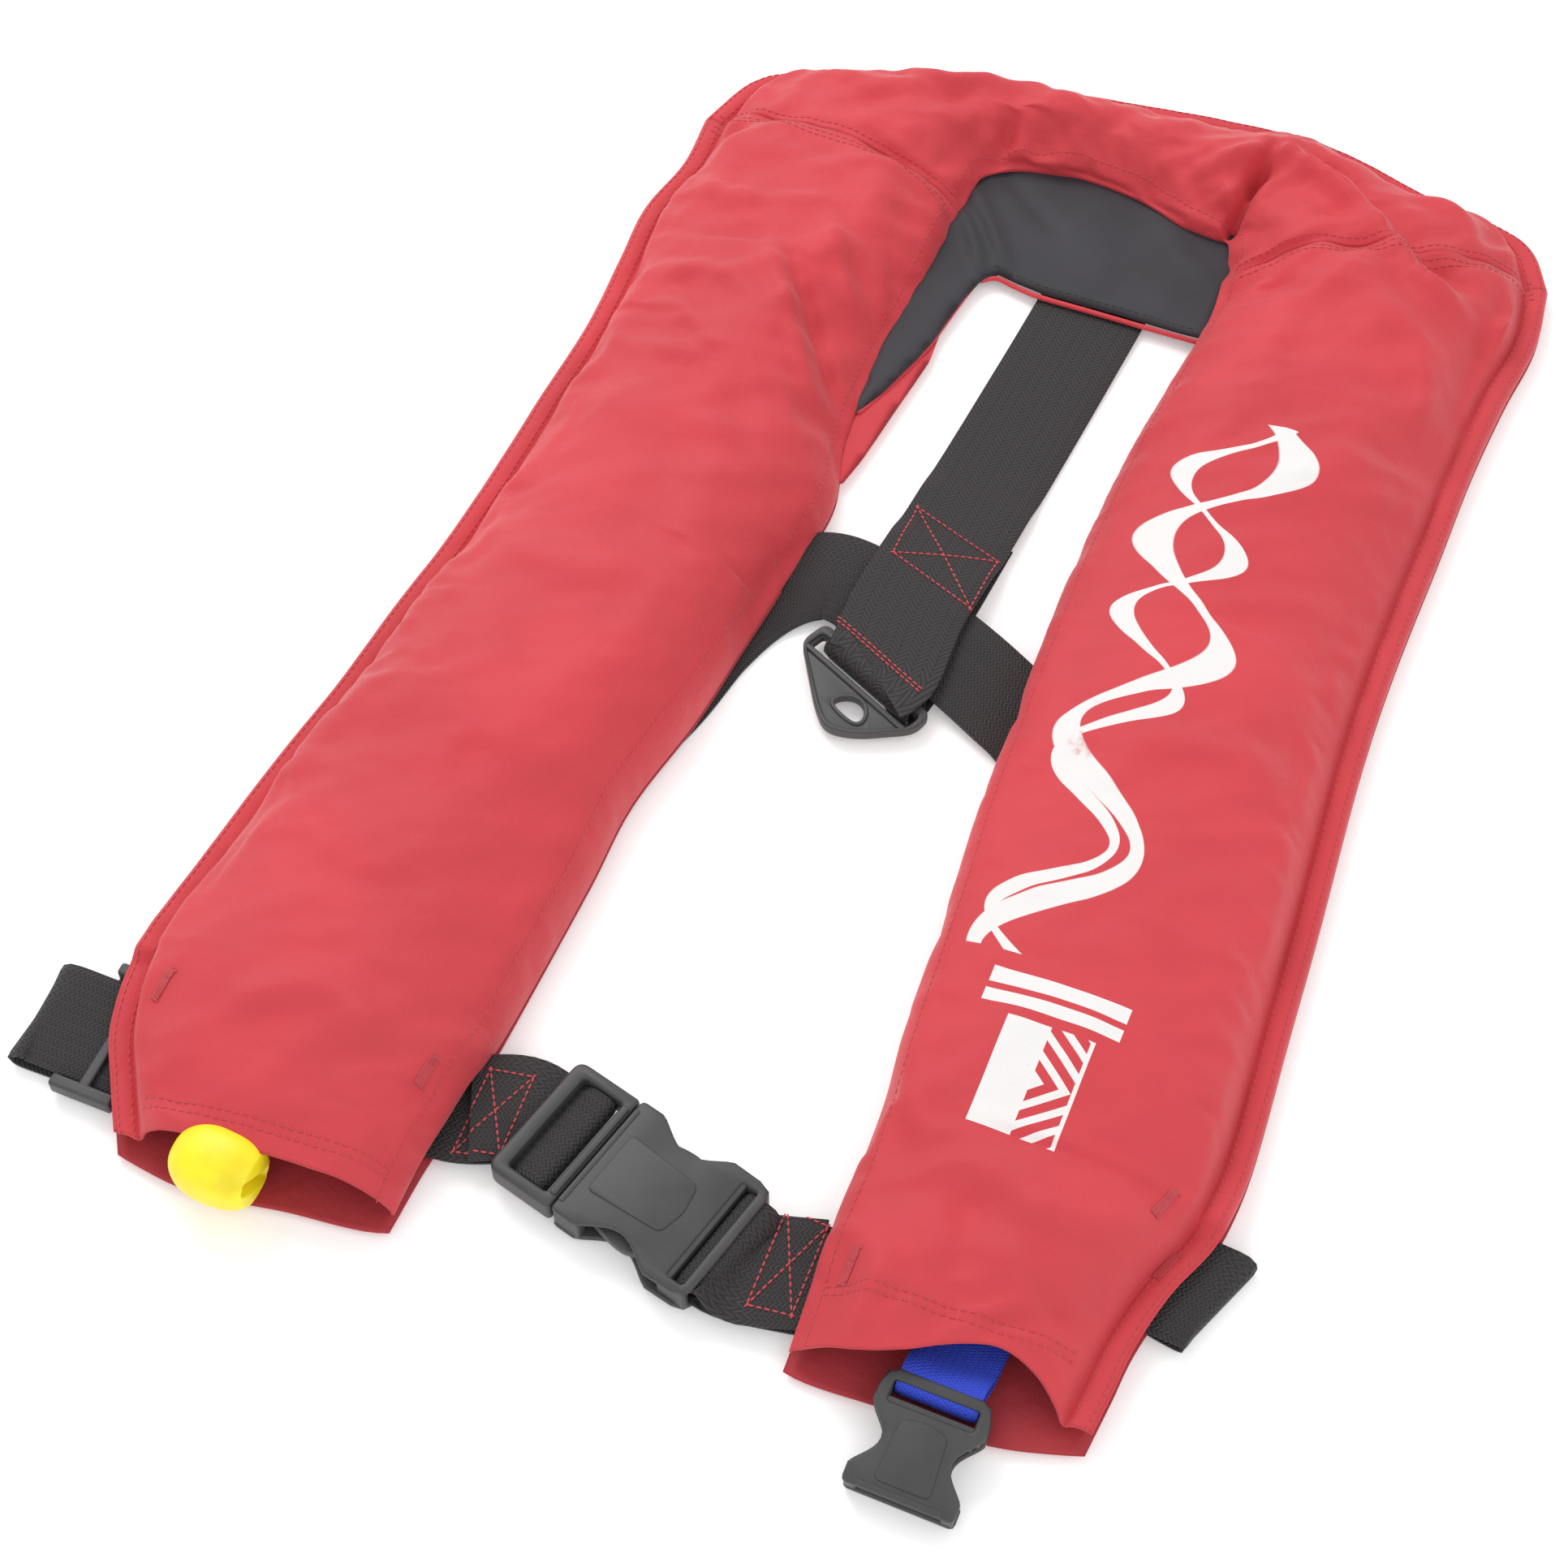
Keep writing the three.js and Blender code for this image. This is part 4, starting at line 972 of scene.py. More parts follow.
# ---------------------------------------------------------------- finishes by name
def swirl_print(f):
    """White wave bands, plain bars and a striped block down the right lobe, worn thin in places."""
    x, y, _ = f.axes(
        f.node("ShaderNodeMapping", {"vector_type": "POINT"}, f.place(), Location=tuple(-at(92, 0, 0)))
    )
    worn = f.grain(60.0, 4.0)
    reach = (y > -0.128) * (y < 0.132)
    mask = None
    for middle, swing, length, thick, phase in (
        (0.002, 0.0205, 0.096, 0.0084, 0.4), (-0.002, 0.016, 0.07, 0.0052, 2.2)
    ):
        line = (y * (2 * math.pi / length) + phase).sin() * swing + middle
        brush = thick * 0.66 + (y * (2 * math.pi / (length * 0.57)) + phase * 2).sin() * thick * 0.34
        here = 1.0 - (abs(x - line) / brush).soft(0.88, 1.0)
        mask = here if mask is None else mask.most(here)
    mask = mask * reach
    for low, high, left, right in ((-0.1408, -0.1348, -0.008, 0.041), (-0.1482, -0.1434, -0.008, 0.041)):
        mask = mask.most((y > low) * (y < high) * (x > left) * (x < right))
    label = (x > 0.003) * (x < 0.034) * (y > -0.192) * (y < -0.152)
    stripes = (((abs(y + 0.172) + x * 0.8) * (1 / 0.0075)).fract() > 0.45) * (x > 0.0185) * (x < 0.0325)
    mask = mask.most(label * (1.0 - stripes))
    return mask * worn.soft(0.22, 0.34)


FINISHES = {
    "red_cover": lambda c: cover_cloth("red cover cloth", c.cover),
    "red_printed": lambda c: cover_cloth("red cover cloth with print", c.cover, swirl_print),
    # painted shade: the back panels' cloth is the cover cloth darkened to 0.72, shade under the lobes
    "cover_lining": lambda c: cover_cloth("cover cloth painted darker for shade", shade(c.cover, 0.72)),
    "collar_lining": lambda c: neoprene("collar neoprene", c.lining),
    "belt": lambda c: webbing_weave("belt webbing", c.webbing, 0.0017, 0.0034, 0.0006, 0.45),
    "back_strap": lambda c: webbing_weave("back strap webbing", c.webbing, 0.0021, 0.0075, 0.0005, 0.42),
    "blue_webbing": lambda c: webbing_weave("blue webbing", (0.02, 0.05, 0.5), 0.0012, 0.0024, 0.0004, 0.3),
    "dark_plastic": lambda c: moulded("dark moulded plastic", c.plastic),
    "yellow_plastic": lambda c: moulded("yellow moulded plastic", c.handle, 0.36, 0.07, 0.15),
    "red_plastic": lambda c: moulded("red moulded plastic", (0.6, 0.03, 0.04), 0.36, 0.07, 0.2),
    "green_plastic": lambda c: moulded("green moulded plastic", (0.05, 0.4, 0.1), 0.36, 0.07, 0.2),
    "black_rubber": lambda c: moulded("black rubber", (0.022, 0.022, 0.022), 0.66, 0.1, 0.3),
    "steel": lambda c: metal("zinc plated steel", (0.58, 0.58, 0.6)),
    "red_thread": lambda c: thread_finish("box stitching thread", c.thread),
    "cover_thread": lambda c: thread_finish("cover thread", shade(c.cover, 0.86)),
    "black_thread": lambda c: thread_finish("black thread", (0.03, 0.028, 0.03)),
    "pull_cord": lambda c: thread_finish("pull cord braid", (0.8, 0.68, 0.05)),
    "bladder_film": lambda c: film("bladder film", c.bladder),
}


_made = {}


def built(*names):
    """The finish of each name, made once: one finish for one name, else a list."""
    for name in names:
        if name not in _made:
            _made[name] = FINISHES[name](bpy.context.scene.jacket_colours)
    return [_made[name] for name in names] if len(names) > 1 else _made[names[0]]


# ---------------------------------------------------------------- operators: cover
_skins = {}


def seam_rows(surface, stations, distance, start=0.0, end=1.0, side="outer"):
    """A stitched line a distance in from a lobe's edge, lying on its cloth."""
    line = spread(smooth_line(stations, 3), 3)
    line = line[int(start * (len(line) - 1)): int(end * (len(line) - 1)) + 1]
    row = []
    for st in line:
        a, b = (
            np.array(st[:2]), np.array(st[2:4])
        ) if side == "outer" else (np.array(st[2:4]), np.array(st[:2]))
        row.append(a + (b - a) / np.linalg.norm(b - a) * distance)
    return surface.row(row)


def across_rows(surface, station, back, start=0.06, end=0.95, sag=0.0):
    """A stitched line across a lobe, back mm behind the line through a station."""
    a, b = np.array(station[:2], float), np.array(station[2:4], float)
    side = np.array([-(b - a)[1], (b - a)[0]]) / np.linalg.norm(b - a)
    return surface.row(
        [a + (b - a) * s + side * (back + sag * math.sin(math.pi * s)) for s in np.linspace(start, end, 40)]
    )


def bartack(surface, x, y, turn, long=11.0, wide=2.6):
    """A dense zigzag tack."""
    c, s = math.cos(math.radians(turn)), math.sin(math.radians(turn))
    row = []
    for k in range(23):
        d, w = long * (k / 22 - 0.5), wide / 2 * (1 if k % 2 else -1)
        px, py = x + d * c - w * s, y + d * s + w * c
        row.append(at(px, py, (surface.height(px, py) or 0) + 0.4))
    return row


class JACKET_OT_cover_left(bpy.types.Operator):
    """Left lobe of the cover, from the shoulder seam to its mouth"""

    bl_idname = "jacket.cover_left"
    bl_label = "Left Cover Lobe"

    def execute(self, context):
        skin = lobe("cover_left", LEFT, context.scene.jacket_sizes, built("red_cover"), [(-1, 2.2)])
        _skins["left"] = Surface(skin)
        hand_over(
            skin, "root", "red_cover", "cover_front_left", "edge_flap_left", "closure_loop_tape_left",
            "closure_hook_tape_left"
        )
        return {"FINISHED"}


class JACKET_OT_cover_yoke(bpy.types.Operator):
    """Yoke of the cover, round the neck from seam to seam"""

    bl_idname = "jacket.cover_yoke"
    bl_label = "Cover Yoke"

    def execute(self, context):
        skin = lobe(
            "cover_yoke", YOKE, context.scene.jacket_sizes, built("red_cover"), [(0, 2.2), (-1, 2.2)]
        )
        _skins["yoke"] = Surface(skin)
        hand_over(skin, "root", "red_cover", "cover_front_yoke")
        return {"FINISHED"}


class JACKET_OT_cover_right(bpy.types.Operator):
    """Right lobe of the cover with its printed waves"""

    bl_idname = "jacket.cover_right"
    bl_label = "Right Cover Lobe"

    def execute(self, context):
        skin = lobe("cover_right", RIGHT, context.scene.jacket_sizes, built("red_printed"), [(0, 2.2)])
        _skins["right"] = Surface(skin)
        hand_over(
            skin, "root", "red_cover", "cover_front_right", "edge_flap_right", "closure_loop_tape_right",
            "closure_hook_tape_right"
        )
        return {"FINISHED"}


class JACKET_OT_back_panels(bpy.types.Operator):
    """Flat back panels of the cover, with a turned hem, behind both lobes and the yoke; their cloth is the
    cover cloth painted darker as shade under the lobes
    """

    bl_idname = "jacket.back_panels"
    bl_label = "Back Panels"

    def execute(self, context):
        # painted shade: the cover cloth darkened, for the panels lying under the lobes
        finish = built("cover_lining")
        for name, stations, node, extra in (
            ("back_panel_left", LEFT, "cover_back_left", 1), ("back_panel_yoke", YOKE, "cover_back_yoke", 0),
            ("back_panel_right", RIGHT, "cover_back_right", -1)
        ):
            line = spread(smooth_line(stations, 5), 5)
            if extra:
                grow = [line[0] + (line[0] - line[1]) * k * 0.25 for k in (6, 4, 2)] if extra > 0 else [
                    line[-1] + (line[-1] - line[-2]) * k * 0.25 for k in (2, 4, 6)
                ]
                line = np.array(grow + list(line)) if extra > 0 else np.array(list(line) + grow)
            cells, verts = 24, []
            for st in line:
                a, b = np.array(st[:2]), np.array(st[2:4])
                for k in range(cells + 1):
                    s = k / cells
                    p = a + (b - a) * s
                    if extra and (st[1] < (LEFT if extra > 0 else RIGHT)[0 if extra > 0 else -1][1] - 0.01):
                        p = p + np.array([0.0, -5.0]) * math.sin(math.pi * s) ** 0.8 * (
                            1 + 0.35 * math.sin(7 * s)
                        )
                    hem = 0.35 * math.exp(-((min(s, 1 - s) * np.linalg.norm(b - a) - 7) / 1.2) ** 2)
                    verts.append(
                        at(p[0], p[1], 3.0 - hem + 0.28 * noise.noise(Vector((p[0] / 26, p[1] / 26, 4.0))))
                    )
            n = cells + 1
            faces = [
                (i * n + j, i * n + j + 1, (i + 1) * n + j + 1, (i + 1) * n + j) for i in range(len(line) - 1)
                for j in range(cells)
            ]
            made = mesh_object(name, verts, faces, finish)
            if sum(p.normal.z for p in made.data.polygons) < 0:
                made.data.flip_normals()
            with_modifier(made, "SOLIDIFY", thickness=0.8 * MM, offset=0)
            settle(made)
            hand_over(made, "root", "cover_lining", node)
        return {"FINISHED"}


class JACKET_OT_cover_seams(bpy.types.Operator):
    """Stitching of the cover: flap, inner edges, shoulder seams, hems and bar tacks"""

    bl_idname = "jacket.cover_seams"
    bl_label = "Cover Stitching"

    def execute(self, context):
        sizes = context.scene.jacket_sizes
        left, yoke, right = _skins["left"], _skins["yoke"], _skins["right"]
        rows = []
        for surface, stations in ((left, LEFT), (yoke, YOKE), (right, RIGHT)):
            rows += [seam_rows(surface, stations, d) for d in (2.6, 8.0)]
            rows.append(seam_rows(surface, stations, 5.0, side="inner"))
        rows += [
            across_rows(left, LEFT[-1], -3.0), across_rows(left, LEFT[-1], -6.0),
            across_rows(yoke, YOKE[0], 3.0)
        ]
        rows += [
            across_rows(yoke, YOKE[-1], -3.0), across_rows(right, RIGHT[0], 3.0),
            across_rows(right, RIGHT[0], 6.0)
        ]
        rows += [across_rows(left, LEFT[0], 7.0, 0.1), across_rows(left, LEFT[0], 10.0, 0.1)]
        rows += [
            across_rows(right, RIGHT[-1], -18.0, 0.12, 0.93), across_rows(right, RIGHT[-1], -21.0, 0.12, 0.93)
        ]
        made = sewn(
            "cover_stitches", rows, sizes.stitch_pitch, sizes.stitch_length, sizes.thread_width,
            built("cover_thread")
        )
        hand_over(made, "root", "red_cover")
        tacks = [
            bartack(right, 165, -192, 70), bartack(right, 172, -206, 70), bartack(left, -176, -248, 80),
            bartack(left, -78, -243, 85), bartack(right, 78, -252, 85)
        ]
        made = sewn("cover_bar_tacks", tacks, 0.0006, 0.0022, sizes.thread_width, built("cover_thread"))
        hand_over(made, "root", "red_cover")
        return {"FINISHED"}


# ---------------------------------------------------------------- operators: lining and soft trim
def inside(x, y, outline):
    hit = np.zeros(x.shape, bool)
    for (ax, ay), (bx, by) in zip(outline, outline[1:] + outline[:1]):
        if ay != by:
            hit ^= ((ay > y) != (by > y)) & (x < (bx - ax) * (y - ay) / (by - ay) + ax)
    return hit


def patch(name, outline, height, cell, thick, finish, round_edge=1.2):
    """A flat piece of cloth or foam cut to an outline, its top at height(x, y), its edges rolled over."""
    ring = [tuple(p[:2]) for p in spread([*outline, outline[0]], cell)][:-1]
    low, high = np.min(ring, 0), np.max(ring, 0)
    xs, ys = np.arange(low[0] - cell, high[0] + cell, cell), np.arange(low[1] - cell, high[1] + cell, cell)
    gx, gy = np.meshgrid(xs, ys, indexing="ij")
    keep = inside(gx, gy, ring)
    gap, _ = line_distance(gx, gy, [*ring, ring[0]])
    keep &= gap > cell * 0.62
    coords = [Vector((float(x), float(y))) for x, y in [*ring, *zip(gx[keep], gy[keep])]]
    pairs = [(i, (i + 1) % len(ring)) for i in range(len(ring))]
    points, _, tris, *_ = delaunay_2d_cdt(coords, pairs, [], 1, 1e-4)
    flat = np.array([(p.x, p.y) for p in points])
    gap, _ = line_distance(flat[:, 0], flat[:, 1], [*ring, ring[0]])
    roll = np.sqrt(np.clip(1 - (1 - np.clip(gap / round_edge, 0, 1)) ** 2, 0, 1))
    top = [at(x, y, height(x, y) - (1 - r) * thick * 0.5) for (x, y), r in zip(flat, roll)]
    bottom = [at(x, y, height(x, y) - thick + (1 - r) * thick * 0.5) for (x, y), r in zip(flat, roll)]
    n = len(flat)
    faces = [tuple(t) for t in tris] + [tuple(n + i for i in reversed(t)) for t in tris]
    made = outward(mesh_object(name, top + bottom, faces, finish), WELD)
    made.data.shade_smooth()
    return made


def tube(name, points, radius, finish, sides=8):
    """A round cord through layout points, closed at both ends."""
    line = spread(smooth_line([np.array(p, float) for p in points], 2.0), 2.0)
    verts, faces = [], []
    along = np.gradient(line, axis=0)
    for p, t in zip(line, along):
        t = Vector(t).normalized()
        u = t.cross(Vector((0, 0, 1)))
        u = u.normalized() if u.length > 0.05 else Vector((1, 0, 0))
        w = t.cross(u)
        for k in range(sides):
            a = 2 * math.pi * k / sides
            q = Vector(p) + u * radius * math.cos(a) + w * radius * math.sin(a)
            verts.append(at(*q))
    for i in range(len(line) - 1):
        faces += [
            (
                i * sides + k, i * sides + (k + 1) % sides, (i + 1) * sides + (k + 1) % sides,
                (i + 1) * sides + k
            )
            for k in range(sides)
        ]
    faces += [tuple(range(sides))[::-1], tuple(range((len(line) - 1) * sides, len(line) * sides))]
    return outward(mesh_object(name, verts, faces, finish))


COLLAR_LINE = [
    (-63, 258), (-56, 262), (-46, 266), (-30, 268), (-13, 269), (2, 267), (14, 259), (28, 255), (40, 259),
    (46, 268), (49, 282), (52, 276),
    (56, 250), (57, 214), (57, 199), (56, 192.8), (30, 192.2), (5, 191.8), (-15, 191.5), (-27, 193),
    (-35, 194.5), (-40, 190), (-43, 178), (-45.5, 160),
    (-46.5, 150), (-49, 138), (-55, 116), (-61, 102), (-64, 99), (-65, 112), (-66, 140), (-66.5, 167),
    (-65.5, 210),
]


def collar_height(x, y):
    soft = 0.8 * noise.noise(Vector((x / 22, y / 26, 2.0)))
    folds = 0.0
    for line, reach, lift in (
        ([(-62, 236), (-46, 216), (-34, 200)], 3.2, 4.0), ([(-62, 222), (-50, 206), (-42, 192)], 2.6, 3.2),
        ([(-56, 252), (-40, 240), (-20, 226)], 4.0, -1.8), ([(20, 250), (34, 232), (50, 222)], 5.0, 1.0)
    ):
        gap, share = line_distance(np.array([x]), np.array([y]), line)
        folds += lift * math.exp(-((gap[0] / reach) ** 2)) * math.sin(
            math.pi * min(0.97, max(0.03, share[0]))
        ) ** 0.5
    return 7.2 + soft + folds


class JACKET_OT_collar(bpy.types.Operator):
    """Neoprene lining round the neck, with its red piping and the facing beside it"""

    bl_idname = "jacket.collar"
    bl_label = "Collar Lining"

    def execute(self, context):
        lining = patch("collar", COLLAR_LINE, collar_height, 3.0, 3.0, built("collar_lining"), 1.8)
        hand_over(lining, "root", "collar_lining", "collar_lining")
        red = built("red_cover")
        piping = merged("collar_piping", [
            tube(
                "piping_foot",
                [
                    (-41, 189.5, 4.6), (-35.5, 193.4, 4.6), (-27, 191.8, 4.6), (-15, 190.3, 4.6),
                    (5, 190.6, 4.6), (30, 191, 4.6), (55.5, 191.6, 4.6)
                ],
                1.1, red
            ),
            tube(
                "piping_side",
                [
                    (-42, 190, 4.6), (-44.2, 176, 4.6), (-46.4, 158, 4.6), (-47.5, 148, 4.6), (-50, 136, 4.6),
                    (-56, 115, 4.6), (-61, 102, 4.6)
                ],
                1.1, red
            ),
        ])
        hand_over(piping, "root", "red_cover")
        facing = patch(
            "neck_facing",
            [(-60, 62), (-53, 66), (-50.5, 80), (-44.5, 140), (-46, 156), (-60, 118), (-64, 96)], lambda x,
            y: 4.6 + 0.3 * noise.noise(Vector((x / 12, y / 20, 9))), 3.0, 1.2, red, 0.8
        )
        hand_over(facing, "root", "red_cover")
        surface = Surface(lining)
        rows = [
            surface.row([(-37, 197.5), (-28, 196), (-15, 194.6), (5, 194.8), (30, 195.2), (48, 195.6)], 0.1)
        ]
        made = sewn("collar_stitches", rows, 0.0032, 0.0024, 0.0005, built("black_thread"))
        hand_over(made, "root", "collar_lining")
        return {"FINISHED"}


# ---------------------------------------------------------------- operators: webbing
RING_TURN = math.radians(-25)
RING_PIVOT = (-7, -17)
STRAP_TURN_Y = -21.6
STRAP_HIGH = 9.4


def lean(y):
    return 6 - (183 - y) * 0.069


def strap_row(y, z, share):
    return ((lean(y), y, z), (1, math.tan(RING_TURN) * share, 0))


def strap_bar(d, z):
    """A place of the strap d mm from its turn round the ring's bar."""
    return (
        (lean(STRAP_TURN_Y) - d * math.sin(RING_TURN), STRAP_TURN_Y + d * math.cos(RING_TURN), z),
        (1, math.tan(RING_TURN), 0)
    )


BACK_STRAP = [
    strap_row(236, 2.4, 0), strap_row(196, 2.2, 0), strap_row(150, 1.2, 0), strap_row(96, 1.2, 0),
    strap_row(78, LOW + WEB + 0.6, 0),
    strap_row(58, LOW + WEB + 1.6, 0.3), strap_row(44, STRAP_HIGH - 1.4, 0.5), strap_row(16, STRAP_HIGH, 0.8),
    strap_bar(9, STRAP_HIGH),
    strap_bar(3, STRAP_HIGH), strap_bar(0.9, STRAP_HIGH - 1.1), strap_bar(0, 5), strap_bar(0.9, LOW + 1.2),
    strap_bar(3, LOW + 0.1),
    strap_bar(9, LOW), strap_row(16, LOW, 0.8), strap_row(36, LOW, 0.5), strap_row(64, LOW, 0),
]
BACK_BELT = [
    ((-158, -236, LOW), (0.75, -0.66, 0)), ((-132, -190, LOW), (0.86, -0.5, 0)),
    ((-98, -115, LOW), (0.92, -0.4, 0)),
    ((-80, -60, LOW), (0.96, -0.25, 0)), ((-73, -24, LOW), (0.95, -0.3, 0)),
    ((-63, 2, LOW + 0.2), (0.72, -0.69, 0)),
    ((-47, 18, 4.6), (0.2, -0.97, -0.1)), ((-30, 21, 5.6), (-0.2, -0.97, -0.04)),
    ((0, 10.5, 5.4), (-0.36, -0.93, 0)),
    ((22, 1, 5.4), (-0.36, -0.93, 0)), ((44, -9, 3.4), (-0.3, -0.95, 0)), ((62, -18, LOW), (-0.3, -0.95, 0)),
    ((92, -42, LOW), (-0.62, -0.78, 0)), ((122, -90, LOW), (-0.8, -0.6, 0)),
    ((140, -140, LOW), (-0.86, -0.5, 0)),
    ((151, -180, LOW), (-0.75, -0.66, 0)),
]
ADJUSTER = (-191, -262)
BUCKLE = (-17, -242.5, 9.0)
BUCKLE_TURN = -14.0
BUCKLE_LENGTH = 56.0


def buckle_at(d, z):
    c, s = math.cos(math.radians(BUCKLE_TURN)), math.sin(math.radians(BUCKLE_TURN))
    return ((BUCKLE[0] + c * d, BUCKLE[1] + s * d, z), (-s, c, 0))


TAB_LEFT = [
    ((-86, -242, UPPER_WEB), (0, 1, 0)), ((-68, -241, UPPER_WEB), (0.05, 1, 0)), buckle_at(-34, UPPER_WEB),
    buckle_at(-24, UPPER_WEB),
    buckle_at(-12, UPPER_WEB + 0.2), buckle_at(-9.2, UPPER_WEB + 0.3), buckle_at(-7.6, UPPER_WEB + 2),
    buckle_at(-7.6, UPPER_WEB + 5),
    buckle_at(-9.2, UPPER_WEB + 6.4), buckle_at(-15.8, UPPER_WEB + 6.4), buckle_at(-19.4, UPPER_WEB + 4),
    buckle_at(-23, UPPER_WEB + 2.8),
    buckle_at(-34, UPPER_WEB + 2.8), ((-65, -240.5, UPPER_WEB + 3), (0.05, 1, 0)),
]
TAB_RIGHT = [
    ((84, -250.5, UPPER_WEB), (0, 1, 0)), ((72, -252, UPPER_WEB), (-0.05, 1, 0)), buckle_at(61, 5.1),
    buckle_at(51, 5.1), buckle_at(49.6, 5.9),
    buckle_at(49.1, 9), buckle_at(49.6, 12.1), buckle_at(51, 12.9), buckle_at(59, 12.9),
    buckle_at(65, UPPER_WEB + 3.6),
    ((69, -251.5, UPPER_WEB + 3), (-0.05, 1, 0)),
]
LOOP_LEFT = [
    ((-176, -258, LOW), (0, 1, 0)), ((-196, -262, LOW), (0, 1, 0)), ((-216, -263, LOW), (0, 1, 0)),
    ((-220.5, -263, LOW + 0.6), (0, 1, 0)),
    ((-222, -263, 3.2), (0, 1, 0)), ((-220.5, -262.6, UPPER_WEB - 0.6), (0, 1, 0)),
    ((-216, -262, UPPER_WEB), (0, 1, 0)),
    ((-200, -262, UPPER_WEB), (0, 1, 0)), ((-176.5, -262, UPPER_WEB), (0, 1, 0)),
]
FOLD = (0.37, 0.93, 0)
LOOP_RIGHT = [
    ((153, -202, LOW), FOLD), ((176, -207, LOW), FOLD), ((188, -209, LOW + 0.1), FOLD),
    ((191.4, -209.6, LOW + 1), FOLD), ((192.4, -210, 3.3), FOLD),
    ((191, -209.6, 5.2), FOLD), ((187, -209, UPPER_WEB + 0.2), FOLD), ((172, -208, UPPER_WEB), FOLD),
    ((154, -205, UPPER_WEB), FOLD),
]
CROTCH = (119.5, -314, 6)
CROTCH_TILT = 9.0


def crotch_at(x, z):
    c, s = math.cos(math.radians(CROTCH_TILT)), math.sin(math.radians(CROTCH_TILT))
    return ((CROTCH[0], CROTCH[1] + x * c - z * s, CROTCH[2] + x * s + z * c), (1, 0, 0))


CROTCH_LOOP = [
    ((121.5, -232, 6.4), (1, 0, 0)), ((120.5, -262, 7.2), (1, 0, 0)), crotch_at(43, -3.9),
    crotch_at(35.8, -3.9), crotch_at(34.3, -3.1),
    crotch_at(33.8, 0), crotch_at(34.3, 3.1), crotch_at(35.8, 3.9), crotch_at(43, 3.9),
    ((120.5, -262, 12.6), (1, 0, 0)), ((121.5, -246, 11.5), (1, 0, 0)),
]


class JACKET_OT_webbing(bpy.types.Operator):
    """Back strap, waist belt, loops, buckle tabs and the blue crotch webbing"""

    bl_idname = "jacket.webbing"
    bl_label = "Webbing"

    def execute(self, context):
        belt, strap, blue = built("belt", "back_strap", "blue_webbing")
        for name, node, path, width, finish, body, slot, thick, wave in (
            (
                "back_strap_web", "back_strap", BACK_STRAP, BACK_STRAP_WIDTH, strap, "root", "black_webbing",
                WEB, 0.25
            ),
            (
                "waist_belt_web", "waist_belt_back", BACK_BELT, BELT_WIDTH, belt, "root", "black_webbing",
                WEB, 0.4
            ),
            (
                "belt_loop_left_web", "belt_loop_left", LOOP_LEFT, BELT_WIDTH, belt, "root", "black_webbing",
                WEB, 0.0
            ),
            (
                "belt_loop_right_web", "belt_loop_right", LOOP_RIGHT, BELT_WIDTH, belt, "root",
                "black_webbing", WEB, 0.0
            ),
            (
                "front_tab_left_web", "front_tab_left", TAB_LEFT, BELT_WIDTH, belt, "buckle_half_male",
                "black_webbing", WEB, 0.0
            ),
            (
                "front_tab_right_web", "front_tab_right", TAB_RIGHT, BELT_WIDTH, belt, "buckle_half_female",
                "black_webbing", WEB, 0.0
            ),
            (
                "crotch_web", "crotch_strap_loop", CROTCH_LOOP, CROTCH_WEB_WIDTH, blue, "root",
                "blue_webbing", 1.6, 0.0
            ),
        ):
            made = webbing(name, path, width, thick, finish, step=1.6, across=14, wave=wave, seed=len(name))
            hand_over(made, body, slot, node)
            _skins[name] = Surface(made)
        return {"FINISHED"}


BOX_STITCH = (0.0027, 0.0022, 0.0008)  # pitch, length and width, m


def boxed(surface, corners, lift=0.2):
    """Rows of a sewn box with its cross, over four corners."""
    a, b, c, d = [np.array(p, float) for p in corners]
    return [surface.row(row, lift, 1.0) for row in ((a, b, c), (c, d, a), (a, c), (b, d))]


class JACKET_OT_box_stitches(bpy.types.Operator):
    """Red sewn boxes on the webbing"""

    bl_idname = "jacket.box_stitches"
    bl_label = "Box Stitches"

    def execute(self, context):
        thread = built("red_thread")
        strap, left, right = (
            _skins["back_strap_web"], _skins["front_tab_left_web"], _skins["front_tab_right_web"]
        )
        rows = boxed(strap, [(-21, 66), (17.5, 52), (16.5, 24), (-20.5, 38)]) + [
            strap.row([(-28, -1), (12, -20)], 0.2, 1.0), strap.row([(-27.4, 0.4), (12.6, -18.6)], 0.2, 1.0)
        ]
        made = sewn("back_strap_box", rows, *BOX_STITCH, thread)
        hand_over(made, "root", "black_webbing")
        made = sewn(
            "left_tab_box", boxed(left, [(-65, -225), (-50, -222), (-48, -253), (-64, -257)]), *BOX_STITCH,
            thread
        )
        hand_over(made, "buckle_half_male", "black_webbing")
        made = sewn(
            "right_tab_box", boxed(right, [(49, -234), (64, -235), (65, -269), (50, -271)]), *BOX_STITCH,
            thread
        )
        hand_over(made, "buckle_half_female", "black_webbing")
        return {"FINISHED"}


# ---------------------------------------------------------------- operators: fittings
def waisted(length, half, neck):
    """Outline of a buckle's body: square mouth, hollow sides, rounded tail."""
    upper = [(0.0, half - 1.6), (0.6, half - 0.4), (2.0, half), (length * 0.16, half)]
    for k in range(1, 12):
        t = k / 12
        x = length * (0.16 + 0.54 * t)
        upper.append((x, half - neck * math.sin(math.pi * t) ** 1.3))
    upper += [(length * 0.7, half), (length - 6, half - 0.3), (length - 2, half - 1.6), (length, half - 5)]
    return upper + [(x, -y) for x, y in reversed(upper)]


